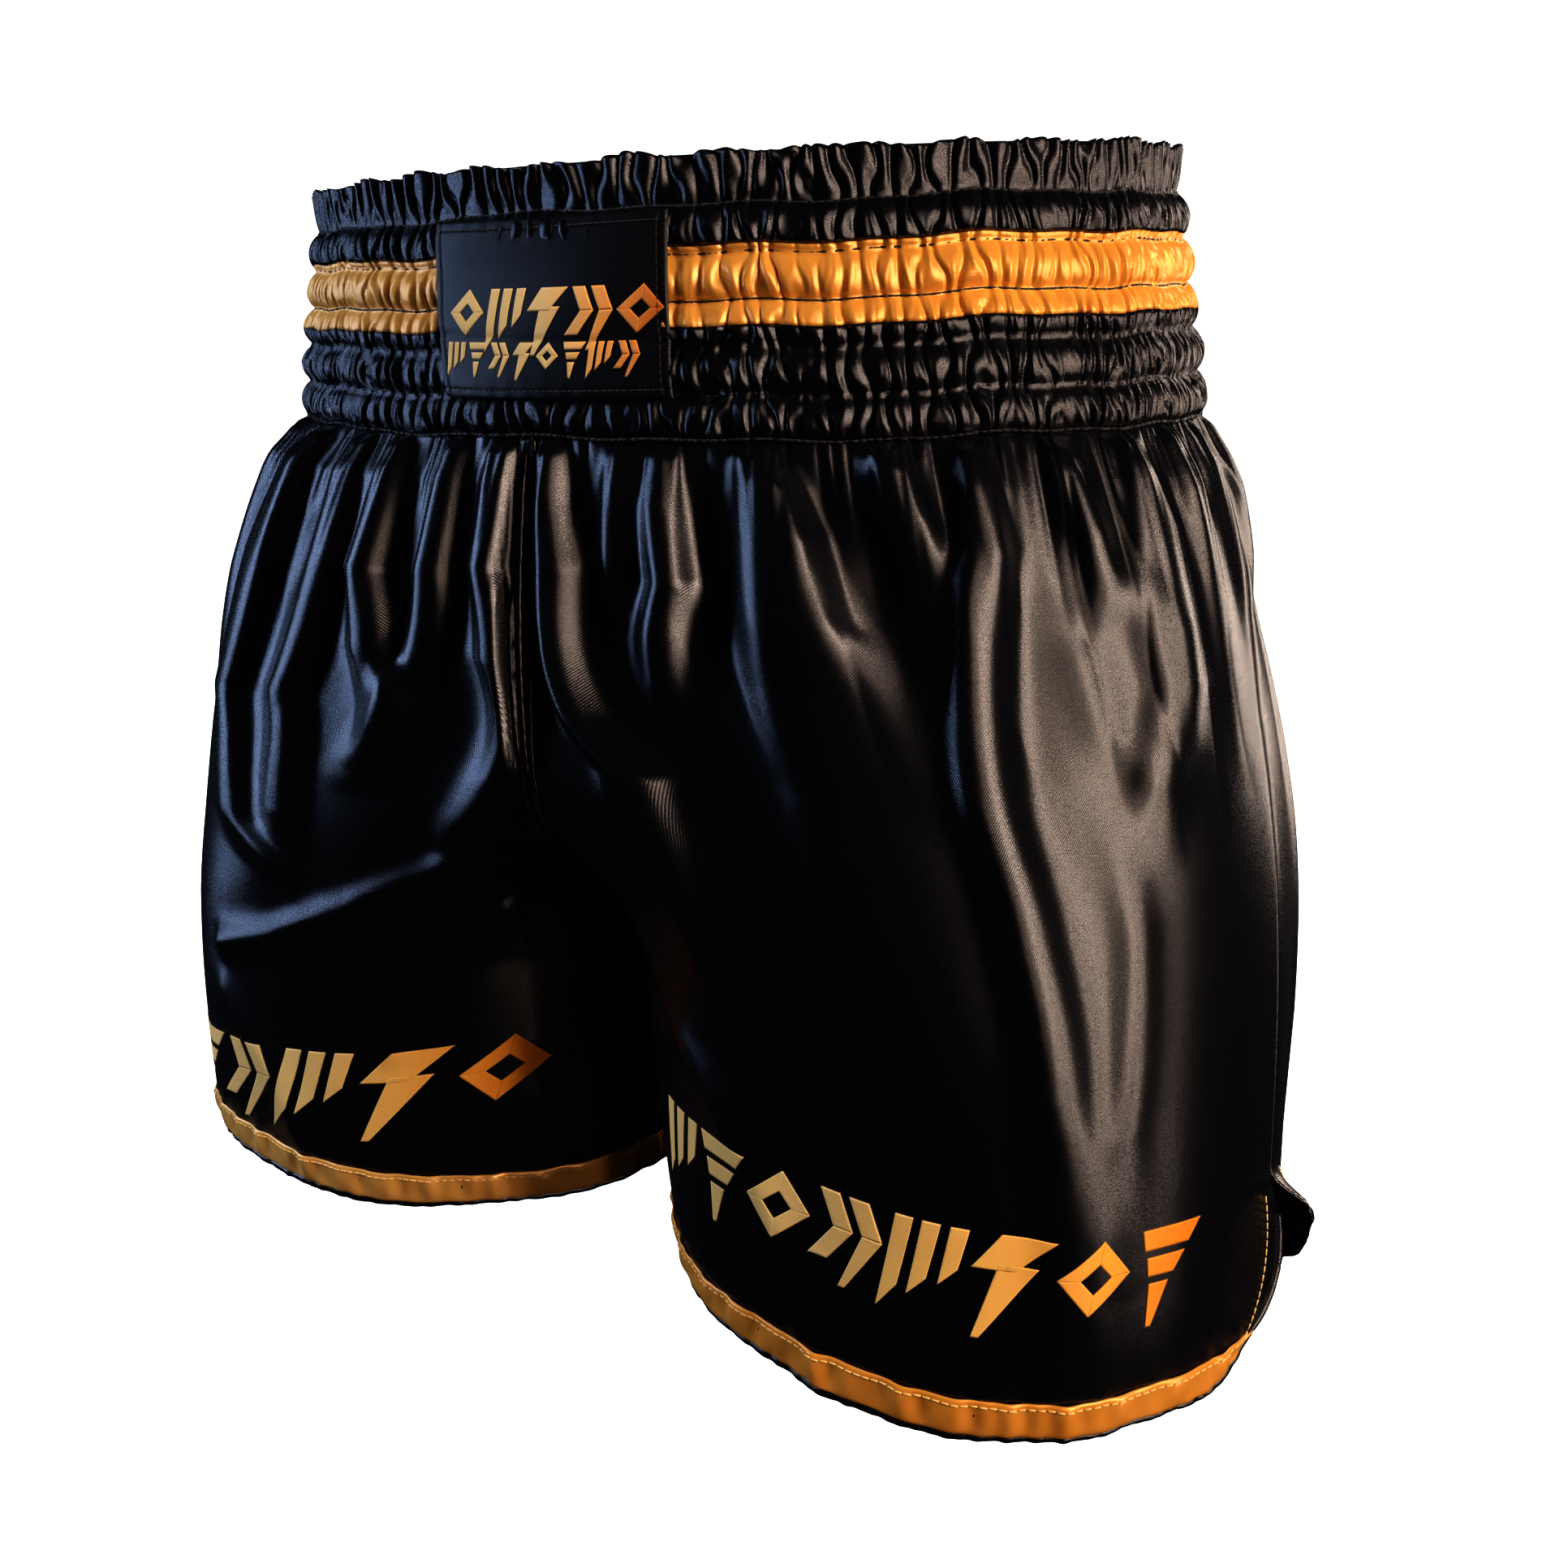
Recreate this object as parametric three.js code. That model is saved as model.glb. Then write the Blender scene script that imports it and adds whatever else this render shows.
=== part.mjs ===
// Boxing shorts of the Muay Thai cut: a wide shirred waistband over two short, full satin legs.
// Millimetres. +Z is up, +X is the wearer's left and -Y is the front. The origin is the middle of
// the waistband, where a waist fills it.
import * as THREE from 'three';

// Cloth, as it is doubled or turned at its edges
const satinThickness = 1.0;
const trimThickness = 0.8;
const layerGap = 0.3;
const seamGap = 0.7;

// Waistband: a frill along the top, then rows of elastic between lines of stitching
const frillHeight = 14;
const elasticRows = 5;
const rowPitch = 13.4;
const elasticHeight = 9;
const elasticThickness = 1.3;
const elasticPlay = 0.6;
const rowBulge = 3.8;
const frillFlare = 3;
const waistTopHalfWidth = 165;
const waistTopHalfDepth = 104;
const waistSeamHalfWidth = 181;
const waistSeamHalfDepth = 103;
const waistTilt = 0.106;

// Gold strip let into the waistband, placed from the second line of stitching
const goldAboveSecondLine = 2;
const goldStripHeight = 22.3;

// Satin patch sewn over the front of the waistband
const patchWidth = 94;
const patchHeight = 54;
const patchOffCentre = 9;
const patchBelowTop = 15;

// Legs
const hemDrop = 346;
const hemHalfWidth = 113;
const hemHalfDepth = 111;
const hemCentre = 123;
const sideFullness = 2.4;
const seatFullness = 8;
const legSquareness = 0.28;

// Crotch and the gusset let into it
const crotchDrop = 205;
const riseSharpness = 3.8;
const gussetFrontAngle = 0.9;
const gussetLegLength = 55;

// Side slits, their turned edges and the hem's trims
const slitLength = 55;
const slitSpread = 20;
const cornerRise = 30;
const cornerWidth = 34;
const slitFacingWidth = 9;
const hemBandHeight = 10;
const bindingHeight = 2.2;
const bindingStart = 9;
const seamTapeWidth = 6.5;

// Colours
const blackSatin = { color: 0x0b0b10, roughness: 0.4, metalness: 0 };
const goldSatin = { color: 0xe0992c, roughness: 0.38, metalness: 0 };
const elasticWeb = { color: 0xd9d6cf, roughness: 0.85, metalness: 0 };

// Facets
const waistSegments = 44;
const rowSteps = 4;
const panelColumns = 16;
const panelRows = 16;
const stripSteps = 12;

// Places worked out from the sizes above
const waistHeight = frillHeight + elasticRows * rowPitch;
const waistTop = waistHeight / 2;
const waistSeam = -waistHeight / 2;
const firstLine = waistTop - frillHeight;
const goldTop = firstLine - rowPitch + goldAboveSecondLine;
const goldBottom = goldTop - goldStripHeight;
const legLength = waistSeam + hemDrop;
const crotchShare = (crotchDrop + waistSeam) / legLength;
const slitShare = 1 - slitLength / legLength;
const gussetLegShare = crotchShare + gussetLegLength / legLength;
const gussetFrontShare = riseShare(gussetFrontAngle);
const casingInner = -rowBulge / 4;
const facingOuter = casingInner - layerGap;
const facingInner = facingOuter - trimThickness;
const patchInner = casingInner + rowBulge + satinThickness + layerGap;

// How far down the rise, as a share of the leg, its seam has turned through the given angle.
function riseShare(angle) {
  return crotchShare * Math.cos(angle) ** (1 / riseSharpness);
}

// Gives back a closed mesh whose faces point out, from corners and triangles wound one way.
function closedGeometry(points, triangles) {
  let volume = 0;
  for (const [a, b, c] of triangles) {
    volume += points[a].dot(new THREE.Vector3().crossVectors(points[b], points[c]));
  }
  const index = triangles.flatMap(([a, b, c]) => (volume > 0 ? [a, b, c] : [a, c, b]));
  const geometry = new THREE.BufferGeometry();
  geometry.setAttribute('position', new THREE.Float32BufferAttribute(points.flatMap((p) => p.toArray()), 3));
  geometry.setIndex(index);
  geometry.computeVertexNormals();
  return geometry;
}

// A cloth shell over a grid: pointAt(row, column, out) takes shares of the grid and a lift.
function shell(rows, columns, pointAt, low, high) {
  const points = [];
  const triangles = [];
  const width = columns + 1;
  const layer = (rows + 1) * width;
  for (const out of [high, low]) {
    for (let i = 0; i <= rows; i++) {
      for (let j = 0; j <= columns; j++) {
        points.push(pointAt(i / rows, j / columns, out));
      }
    }
  }
  const quad = (a, b, c, d) => triangles.push([a, b, c], [a, c, d]);
  for (let i = 0; i < rows; i++) {
    for (let j = 0; j < columns; j++) {
      const a = i * width + j;
      quad(a, a + 1, a + width + 1, a + width);
      quad(layer + a, layer + a + width, layer + a + width + 1, layer + a + 1);
    }
  }
  const edge = [];
  for (let j = 0; j < columns; j++) edge.push(j);
  for (let i = 0; i < rows; i++) edge.push(i * width + columns);
  for (let j = columns; j > 0; j--) edge.push(rows * width + j);
  for (let i = rows; i > 0; i--) edge.push(i * width);
  edge.forEach((a, k) => {
    const b = edge[(k + 1) % edge.length];
    quad(a, layer + a, layer + b, b);
  });
  return closedGeometry(points, triangles);
}

// A point of the waistband: turn goes from the front through the wearer's left side.
function waistPoint(turn, height, out) {
  const share = (waistTop - height) / waistHeight;
  const halfWidth = THREE.MathUtils.lerp(waistTopHalfWidth, waistSeamHalfWidth, share);
  const halfDepth = THREE.MathUtils.lerp(waistTopHalfDepth, waistSeamHalfDepth, share);
  const normal = new THREE.Vector2(Math.sin(turn) / halfWidth, -Math.cos(turn) / halfDepth).normalize();
  const x = halfWidth * Math.sin(turn) + out * normal.x;
  const y = -halfDepth * Math.cos(turn) + out * normal.y;
  return new THREE.Vector3(x, y, height + waistTilt * y);
}

// Carries a closed section of [out, height] corners round the waist.
function waistRing(section) {
  const points = [];
  const triangles = [];
  const count = section.length;
  for (let i = 0; i < waistSegments; i++) {
    const turn = (i / waistSegments) * Math.PI * 2;
    for (const [out, height] of section) points.push(waistPoint(turn, height, out));
  }
  for (let i = 0; i < waistSegments; i++) {
    for (let k = 0; k < count; k++) {
      const here = i * count;
      const next = ((i + 1) % waistSegments) * count;
      const after = (k + 1) % count;
      triangles.push([here + k, next + k, next + after], [here + k, next + after, here + after]);
    }
  }
  return closedGeometry(points, triangles);
}

// The casing stands off the waist between the lines of stitching and is drawn in at each line.
function casingOut(height) {
  if (height > firstLine) {
    return casingInner + frillFlare * ((height - firstLine) / frillHeight) ** 0.6;
  }
  const phase = (firstLine - height) / rowPitch;
  return casingInner + rowBulge * Math.abs(Math.sin(phase * Math.PI)) ** 0.6;
}

// A strip of the casing between two heights, following the rows.
function casingStrip(top, bottom) {
  const heights = [top];
  for (let height = waistTop; height > bottom; height -= frillHeight / rowSteps) {
    if (height > firstLine && height < top) heights.push(height);
  }
  for (let step = 0; step < elasticRows * rowSteps; step++) {
    const height = firstLine - (step * rowPitch) / rowSteps;
    if (height < top && height > bottom) heights.push(height);
  }
  heights.push(bottom);
  const outer = heights.map((height) => [casingOut(height) + satinThickness, height]);
  const inner = heights.map((height) => [casingOut(height), height]).reverse();
  return waistRing([...outer, ...inner]);
}

function flatRing(inner, outer, top, bottom) {
  return waistRing([[outer, top], [outer, bottom], [inner, bottom], [inner, top]]);
}

function elasticRing(row) {
  const middle = firstLine - (row + 0.5) * rowPitch;
  const inner = facingOuter + elasticPlay;
  return flatRing(inner, inner + elasticThickness, middle + elasticHeight / 2, middle - elasticHeight / 2);
}

function frontPatch() {
  const pointAt = (row, column, out) => {
    const height = waistTop - patchBelowTop - row * patchHeight;
    const along = patchOffCentre + (column - 0.5) * patchWidth;
    return waistPoint(Math.asin(along / waistSeamHalfWidth), height, out);
  };
  return shell(6, stripSteps, pointAt, patchInner, patchInner + satinThickness);
}

// The ring of one leg at a share of the way from the waist seam to the hem.
function legRing(share) {
  const fill = 1 - (1 - share) ** sideFullness;
  const outer = THREE.MathUtils.lerp(waistSeamHalfWidth, hemCentre + hemHalfWidth, fill);
  const spread = hemCentre / hemHalfWidth;
  const below = (share - crotchShare) / (1 - crotchShare);
  const lean = share < crotchShare
    ? (share / crotchShare) ** riseSharpness
    : THREE.MathUtils.lerp(1, spread, below);
  const halfWidth = outer / (1 + lean);
  const halfDepth = THREE.MathUtils.lerp(waistSeamHalfDepth, hemHalfDepth, fill);
  return { centre: lean * halfWidth, halfWidth, halfDepth };
}

// A point of the left leg's cloth: angle runs from the inseam, over the front and the side, to
// the back. The seat is fuller than the front, the leg is a little squarer than an oval half way
// down, and the waistband's tilt dies out down the leg.
function legPoint(angle, share) {
  const ring = legRing(share);
  const seat = angle > Math.PI ? seatFullness * Math.sin(share * Math.PI) : 0;
  const power = 2 + legSquareness * Math.sqrt(Math.sin(Math.PI * share));
  const depth = Math.max(0, 1 - Math.abs(Math.cos(angle)) ** power) ** (1 / power);
  const x = ring.centre - ring.halfWidth * Math.cos(angle);
  const y = -(ring.halfDepth + seat) * depth * Math.sign(Math.sin(angle));
  const z = waistSeam - share * legLength + waistTilt * y * (1 - share) ** 2;
  return new THREE.Vector3(x, y, z);
}

function legNormal(angle, share) {
  const step = 1e-3;
  const lower = THREE.MathUtils.clamp(share + step, 2 * step, 1);
  const round = legPoint(angle + step, share).sub(legPoint(angle - step, share));
  const down = legPoint(angle, lower).sub(legPoint(angle, lower - 2 * step));
  return new THREE.Vector3().crossVectors(down, round).normalize();
}

function lifted(angle, share, out) {
  return legPoint(angle, share).addScaledVector(legNormal(angle, share), out);
}

// The angle at which the leg's cloth meets the plane between the legs, less a seam's gap.
function riseAngle(share, gap) {
  const ring = legRing(share);
  return Math.acos(Math.min(1, (ring.centre - gap) / ring.halfWidth));
}

// Where a front or back panel starts: the rise, then the gusset's seam, then the inseam.
function innerEdge(share) {
  const gap = seamGap / legRing(share).halfWidth;
  if (share < gussetFrontShare) return riseAngle(share, seamGap);
  const along = (gussetLegShare - share) / (gussetLegShare - gussetFrontShare);
  return Math.max(gussetFrontAngle * along, 0) + gap;
}

// Where it ends: the side seam, then the slit's edge leaning away from the seam.
function outerEdge(share) {
  const open = Math.max(0, (share - slitShare) / (1 - slitShare));
  return Math.PI - (seamGap / 2 + slitSpread * open) / legRing(share).halfWidth;
}

// How far the hem has risen at a share of the panel's width, where it rounds up to the slit.
function hemShare(across) {
  const start = 1 - cornerWidth / (Math.PI * hemHalfWidth);
  const turn = Math.max(0, (across - start) / (1 - start));
  return 1 - (cornerRise / legLength) * (1 - Math.sqrt(1 - turn ** 2));
}

// Shares of the panel's grid as an angle and a share of the leg's length.
function panelPlace(down, across) {
  let share = down;
  if (down > slitShare) {
    share = slitShare + ((down - slitShare) * (hemShare(across) - slitShare)) / (1 - slitShare);
  }
  const angle = THREE.MathUtils.lerp(innerEdge(share), outerEdge(share), across);
  return { angle, share };
}

// The same cloth on any quarter: the back runs the other way round, the right leg is mirrored.
function quarterPoint(quarter, angle, share, out) {
  const point = lifted(quarter.back ? Math.PI * 2 - angle : angle, share, out);
  point.x *= quarter.side;
  return point;
}

// Rows that fall on the crotch's, the gusset's and the slit's corners.
const panelStops = [layerGap / legLength, gussetFrontShare, gussetLegShare, slitShare, 1];

function stopShare(row) {
  const place = row * (panelStops.length - 1);
  const stop = Math.min(Math.floor(place), panelStops.length - 2);
  return THREE.MathUtils.lerp(panelStops[stop], panelStops[stop + 1], place - stop);
}

// The panel's columns close up towards the slit, where its corner is rounded.
function acrossShare(column) {
  return Math.sin((column * Math.PI) / 2);
}

function legPanel(quarter) {
  const pointAt = (row, column, out) => {
    const place = panelPlace(stopShare(row), acrossShare(column));
    return quarterPoint(quarter, place.angle, place.share, out);
  };
  return shell(panelRows, panelColumns, pointAt, -satinThickness / 2, satinThickness / 2);
}

// The hem's gold band lies on the panel and runs out where the hem rounds up to the slit.
function hemBand(quarter) {
  const low = satinThickness / 2 + layerGap;
  const bandTop = 1 - hemBandHeight / legLength;
  const shortest = 0.2;
  const end = 1 - (cornerWidth / (Math.PI * hemHalfWidth)) * (1 - bandReach(shortest));
  const steps = Math.ceil((Math.asin(end) * 2 * panelColumns) / Math.PI);
  const pointAt = (row, column, out) => {
    const across = Math.min(end, acrossShare((column * steps) / panelColumns));
    const share = THREE.MathUtils.lerp(bandTop, hemShare(across) - layerGap / legLength, row);
    const angle = THREE.MathUtils.lerp(innerEdge(share), outerEdge(share), across);
    return quarterPoint(quarter, angle, share, out);
  };
  return shell(2, steps, pointAt, low, low + trimThickness);
}

// The share of the rounded corner's width at which a share of the band's height is left.
function bandReach(left) {
  const risen = Math.min(1, (hemBandHeight * (1 - left)) / cornerRise);
  return Math.sqrt(1 - (1 - risen) ** 2);
}

// The black binding runs along the hem, round the corner and up the slit's edge.
function edgeBinding(quarter) {
  const slitSteps = 8;
  const edgeLength = slitLength - cornerRise;
  const slitTop = slitShare + (1 - slitShare) * (bindingStart / edgeLength);
  const places = [];
  for (let i = 0; i <= panelColumns; i++) places.push([1, acrossShare(i / panelColumns)]);
  for (let i = 1; i <= slitSteps; i++) places.push([THREE.MathUtils.lerp(1, slitTop, i / slitSteps), 1]);
  const path = places.map(([down, across]) => panelPlace(down, across));
  const low = -satinThickness / 2;
  const high = satinThickness / 2 + layerGap + trimThickness;
  const pointAt = (row, column, out) => {
    const i = Math.round(column * (path.length - 1));
    const at = (k, lift) => quarterPoint(quarter, path[k].angle, path[k].share, lift);
    const along = at(Math.min(i + 1, path.length - 1), 0).sub(at(Math.max(i - 1, 0), 0)).normalize();
    const normal = at(i, 1).sub(at(i, 0));
    const away = along.cross(normal).multiplyScalar(quarter.side * (quarter.back ? -1 : 1));
    return at(i, out).addScaledVector(away, layerGap + row * bindingHeight);
  };
  return shell(1, path.length - 1, pointAt, low, high);
}

// The slit's edge is turned in and stitched down: a facing inside the panel.
function slitFacing(quarter) {
  const high = -satinThickness / 2 - layerGap;
  const top = slitShare + layerGap / legLength;
  const bottom = 1 - cornerRise / legLength;
  const pointAt = (row, column, out) => {
    const share = THREE.MathUtils.lerp(top, bottom, row);
    const inset = (column * slitFacingWidth) / legRing(share).halfWidth;
    return quarterPoint(quarter, outerEdge(share) - inset, share, out);
  };
  return shell(10, 3, pointAt, high - trimThickness, high);
}

// A tape sewn over the seam of the rise, from the waistband to the gusset's corner.
function riseTape(back) {
  const low = satinThickness / 2 + 2 * layerGap;
  const top = layerGap / legLength;
  const quarter = { side: 1, back };
  const pointAt = (row, column, out) => {
    const share = THREE.MathUtils.lerp(top, gussetFrontShare * 0.985, row);
    const x = (column - 0.5) * seamTapeWidth;
    const angle = riseAngle(share, Math.abs(x));
    const middle = riseAngle(share, 0);
    const lift = quarterPoint(quarter, middle, share, 1).sub(quarterPoint(quarter, middle, share, 0));
    lift.x = 0;
    const point = quarterPoint({ side: Math.sign(x) || 1, back }, angle, share, 0);
    return point.addScaledVector(lift.normalize(), out);
  };
  return shell(stripSteps, 4, pointAt, low, low + trimThickness);
}

// The gusset is a saddle: from the crotch it runs a little up each rise and down each inseam.
function crotchGusset() {
  const tip = 0.92;
  const rows = (2 * panelRows) / (panelStops.length - 1);
  const edgeShare = seamGap / legLength;
  const pointAt = (row, column, out) => {
    const angle = THREE.MathUtils.clamp(2 * row - 1, -tip, tip) * gussetFrontAngle;
    const drop = 2 * column - 1;
    const quarter = { side: Math.sign(drop) || 1, back: angle < 0 };
    const turned = Math.abs(angle);
    const start = riseShare(turned);
    const seam = THREE.MathUtils.lerp(gussetLegShare, gussetFrontShare, turned / gussetFrontAngle) - edgeShare;
    const share = THREE.MathUtils.lerp(start, seam, Math.abs(drop));
    const point = quarterPoint(quarter, turned, share, 0);
    const lift = quarterPoint(quarter, turned, share, 1).sub(point);
    if (Math.abs(drop) < 1e-6) lift.x = 0;
    if (Math.abs(angle) < 1e-6) lift.y = 0;
    return point.addScaledVector(lift.normalize(), out);
  };
  return shell(rows, 12, pointAt, -satinThickness / 2, satinThickness / 2);
}

const shorts = new THREE.Group();

function add(name, geometry, finish) {
  const mesh = new THREE.Mesh(geometry, new THREE.MeshStandardMaterial(finish));
  mesh.name = name;
  shorts.add(mesh);
}

function addWaistband() {
  const gap = layerGap / 2;
  add('waist_top_strip', casingStrip(waistTop, goldTop + gap), blackSatin);
  add('waist_gold_strip', casingStrip(goldTop - gap, goldBottom + gap), goldSatin);
  add('waist_lower_strip', casingStrip(goldBottom - gap, waistSeam), blackSatin);
  add('waist_facing', flatRing(facingInner, facingOuter, waistTop - layerGap, waistSeam), blackSatin);
  for (let row = 0; row < elasticRows; row++) add(`elastic_row_${row + 1}`, elasticRing(row), elasticWeb);
  add('front_patch', frontPatch(), blackSatin);
}

function addLegs() {
  for (const back of [false, true]) {
    for (const side of [1, -1]) {
      const quarter = { side, back };
      const place = `${back ? 'back' : 'front'}_${side > 0 ? 'left' : 'right'}`;
      add(`${place}_panel`, legPanel(quarter), blackSatin);
      add(`${place}_hem_band`, hemBand(quarter), goldSatin);
      add(`${place}_edge_binding`, edgeBinding(quarter), blackSatin);
      add(`${place}_slit_facing`, slitFacing(quarter), blackSatin);
    }
    add(`${back ? 'back' : 'front'}_rise_tape`, riseTape(back), blackSatin);
  }
  add('crotch_gusset', crotchGusset(), blackSatin);
}

addWaistband();
addLegs();

export default shorts;
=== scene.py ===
"""Boxing shorts of the Muay Thai cut: a shirred waistband with a gold strip and a satin patch, over
two wide satin legs with gold hem bands, printed bands and side slits. Sizes are in millimetres."""
import math

import bpy
import numpy as np
from mathutils import Matrix, Vector


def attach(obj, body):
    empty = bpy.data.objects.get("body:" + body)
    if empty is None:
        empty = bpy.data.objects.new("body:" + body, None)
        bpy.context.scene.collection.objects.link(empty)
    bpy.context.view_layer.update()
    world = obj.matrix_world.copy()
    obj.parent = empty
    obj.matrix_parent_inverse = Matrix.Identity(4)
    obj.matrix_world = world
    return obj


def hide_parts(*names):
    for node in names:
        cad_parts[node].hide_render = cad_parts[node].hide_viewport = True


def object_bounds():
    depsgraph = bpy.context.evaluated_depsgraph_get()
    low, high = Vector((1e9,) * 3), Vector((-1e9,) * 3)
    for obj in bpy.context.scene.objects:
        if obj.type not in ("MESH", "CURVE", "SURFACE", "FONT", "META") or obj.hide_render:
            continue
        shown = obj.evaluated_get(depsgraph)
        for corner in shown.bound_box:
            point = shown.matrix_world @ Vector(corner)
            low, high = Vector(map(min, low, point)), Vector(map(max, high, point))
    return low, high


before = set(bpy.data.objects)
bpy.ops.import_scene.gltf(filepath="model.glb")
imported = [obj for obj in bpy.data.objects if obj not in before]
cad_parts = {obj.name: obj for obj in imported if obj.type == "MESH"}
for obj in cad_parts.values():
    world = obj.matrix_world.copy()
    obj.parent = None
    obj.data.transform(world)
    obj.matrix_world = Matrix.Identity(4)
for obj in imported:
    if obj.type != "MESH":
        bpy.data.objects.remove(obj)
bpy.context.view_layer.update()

# ---- Camera -------------------------------------------------------------------------------
# A close standpoint on the wearer's left front, a little above the middle of the legs, looking
# down toward the hems. The lens is 33 mm on a 36 mm wide sensor, and leans by about a degree.
stand = Vector((0.31364, -0.46953, -0.04404))
turn_left, look_down, lean = (math.radians(a) for a in (30.589, 14.09, 1.252))
look = Vector((-math.sin(turn_left) * math.cos(look_down),
               math.cos(turn_left) * math.cos(look_down), -math.sin(look_down)))
level = Vector((math.cos(turn_left), math.sin(turn_left), 0))
upright = level.cross(look)
sight_right = level * math.cos(lean) + upright * math.sin(lean)
sight_up = upright * math.cos(lean) - level * math.sin(lean)
camera_data = bpy.data.cameras.new("camera")
camera_data.sensor_width = 36
camera_data.lens = 33.29
camera_data.clip_start = 0.02
camera = bpy.data.objects.new("camera", camera_data)
camera.matrix_world = Matrix.Translation(stand) @ Matrix(
    (sight_right, sight_up, -look)).transposed().to_4x4()
bpy.context.scene.collection.objects.link(camera)
bpy.context.scene.camera = camera

# ---- Studio -------------------------------------------------------------------------------
# White paper below and behind. Narrow boxes, warm on the wearer's left and cool on the right, draw
# the long highlights in the satin. Wide fills light its own colour only, and two low boxes behind
# draw the seat.
studio = bpy.context.scene
studio.view_settings.view_transform = "Standard"
studio.view_settings.look = "High Contrast"


def feed(tree, node, inputs):
    """Sets a node's inputs: each is given a value, or the output that feeds it."""
    for socket, value in inputs.items():
        if isinstance(value, bpy.types.NodeSocket):
            tree.links.new(value, node.inputs[socket])
        else:
            node.inputs[socket].default_value = value


def add_node(tree, kind, inputs, **settings):
    node = tree.nodes.new(kind)
    for setting, value in settings.items():
        setattr(node, setting, value)
    feed(tree, node, inputs)
    return node


world = bpy.data.worlds.new("studio_air")
world.use_nodes = True
air = world.node_tree
room = air.nodes["Background"]
feed(air, room, {"Color": (0.75, 0.8, 1.0, 1), "Strength": 0.012})
paper_white = add_node(air, "ShaderNodeBackground", {"Color": (1, 1, 1, 1)})
seen = add_node(air, "ShaderNodeLightPath", {})
either = add_node(air, "ShaderNodeMixShader", {
    "Fac": seen.outputs["Is Camera Ray"], 1: room.outputs[0], 2: paper_white.outputs[0]})
feed(air, air.nodes["World Output"], {"Surface": either.outputs[0]})
studio.world = world
middle_of_shorts = -0.12


def soft_box(name, around, rise, away, wide, tall, watts, tint):
    """A lamp behind cloth, turned to the middle of the shorts from so many degrees round and up."""
    data = bpy.data.lights.new(name, "AREA")
    data.shape = "RECTANGLE"
    data.size, data.size_y = wide, tall
    data.energy = watts
    data.color = tint
    box = bpy.data.objects.new(name, data)
    a, e = math.radians(around), math.radians(rise)
    back = Vector((math.sin(a) * math.cos(e), -math.cos(a) * math.cos(e), math.sin(e)))
    box.location = Vector((0, 0, middle_of_shorts)) + back * away
    box.rotation_euler = back.to_track_quat("Z", "Y").to_euler()
    box.visible_camera = False
    studio.collection.objects.link(box)
    return box


soft_box("warm_box", 73, 4, 1.5, 0.09, 1.5, 14, (1.0, 0.78, 0.66))
soft_box("warm_edge", 56, 6, 1.5, 0.10, 1.2, 4, (1.0, 0.76, 0.62))
soft_box("cool_box", -66, 8, 1.5, 0.15, 1.2, 7, (0.46, 0.62, 1.0))
soft_box("high_fill", 80, 26, 1.5, 0.4, 0.5, 19, (1.0, 0.90, 0.80)).visible_glossy = False
soft_box("side_fill", -58, 24, 1.5, 0.4, 0.5, 16, (0.94, 0.96, 1.0)).visible_glossy = False
soft_box("seat_fill", 180, 40, 1.6, 0.9, 0.5, 14, (1.0, 0.92, 0.82)).visible_glossy = False
soft_box("seat_cool", 222, 12, 1.6, 0.20, 1.2, 5, (0.45, 0.58, 1.0))
soft_box("seat_warm", 150, 12, 1.6, 0.20, 1.2, 7, (1.0, 0.82, 0.70))

floor_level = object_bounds()[0].z - 0.03
floor_half = 6
floor_corners = [(x * floor_half, y * floor_half, floor_level)
                 for x, y in ((-1, -1), (1, -1), (1, 1), (-1, 1))]
sweep = bpy.data.meshes.new("paper_floor")
sweep.from_pydata(floor_corners, [], [(0, 1, 2, 3)])
paper_floor = bpy.data.objects.new("paper_floor", sweep)
paper = bpy.data.materials.new("paper")
paper.use_nodes = True
feed(paper.node_tree, paper.node_tree.nodes["Principled BSDF"], {
    "Base Color": (0.86, 0.86, 0.86, 1), "Roughness": 0.9,
    "Emission Color": (1, 1, 1, 1), "Emission Strength": 1.0})
paper_floor.data.materials.append(paper)
paper_floor.visible_glossy = False
paper_floor.visible_diffuse = False
studio.collection.objects.link(paper_floor)

# ---- Waistband casing ---------------------------------------------------------------------
# Black satin with a gold satin strip let in. It is shirred onto five rows of elastic with six
# lines of stitching, so it stands in small upright gathers, and ends in a frill above the first.
waist_top, waist_seam = 40.5, -40.5
first_line, row_pitch = 26.5, 13.4
gold_top, gold_bottom = 15.1, -7.2
top_half_width, top_half_depth = 165.0, 104.0
seam_half_width, seam_half_depth = 181.0, 103.0
waist_tilt = 0.106
line_heights = [first_line - row * row_pitch for row in range(6)]
gather_count = 164
hand = np.random.default_rng(11)
slow_beats = hand.integers(3, 46, 16)
slow_sway = hand.normal(0, 1, 16) * 0.30 * gather_count / (slow_beats * 4.0)
slow_start = hand.uniform(0, 2 * np.pi, 16)
sway_beats = hand.integers(20, 105, (7, 14))
sway_start = hand.uniform(0, 2 * np.pi, (7, 14))
sway_reach = hand.normal(0, 1, (7, 14)) * 0.22
sway_height = hand.uniform(0.7, 1.6, 7) * 2 * np.pi / 30
sway_offset = hand.uniform(0, 2 * np.pi, 7)


def gather_phase(turn, height):
    """How far round its folds the gathered cloth is, in radians, at a turn and a height."""
    phase = gather_count * turn
    for beats, reach, start in zip(slow_beats, slow_sway, slow_start):
        phase = phase + reach * np.sin(beats * turn + start)
    for k in range(7):
        across = sum(r * np.sin(b * turn + s) for b, r, s in zip(sway_beats[k], sway_reach[k], sway_start[k]))
        phase = phase + across * np.cos(sway_height[k] * height + sway_offset[k])
    return phase


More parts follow.
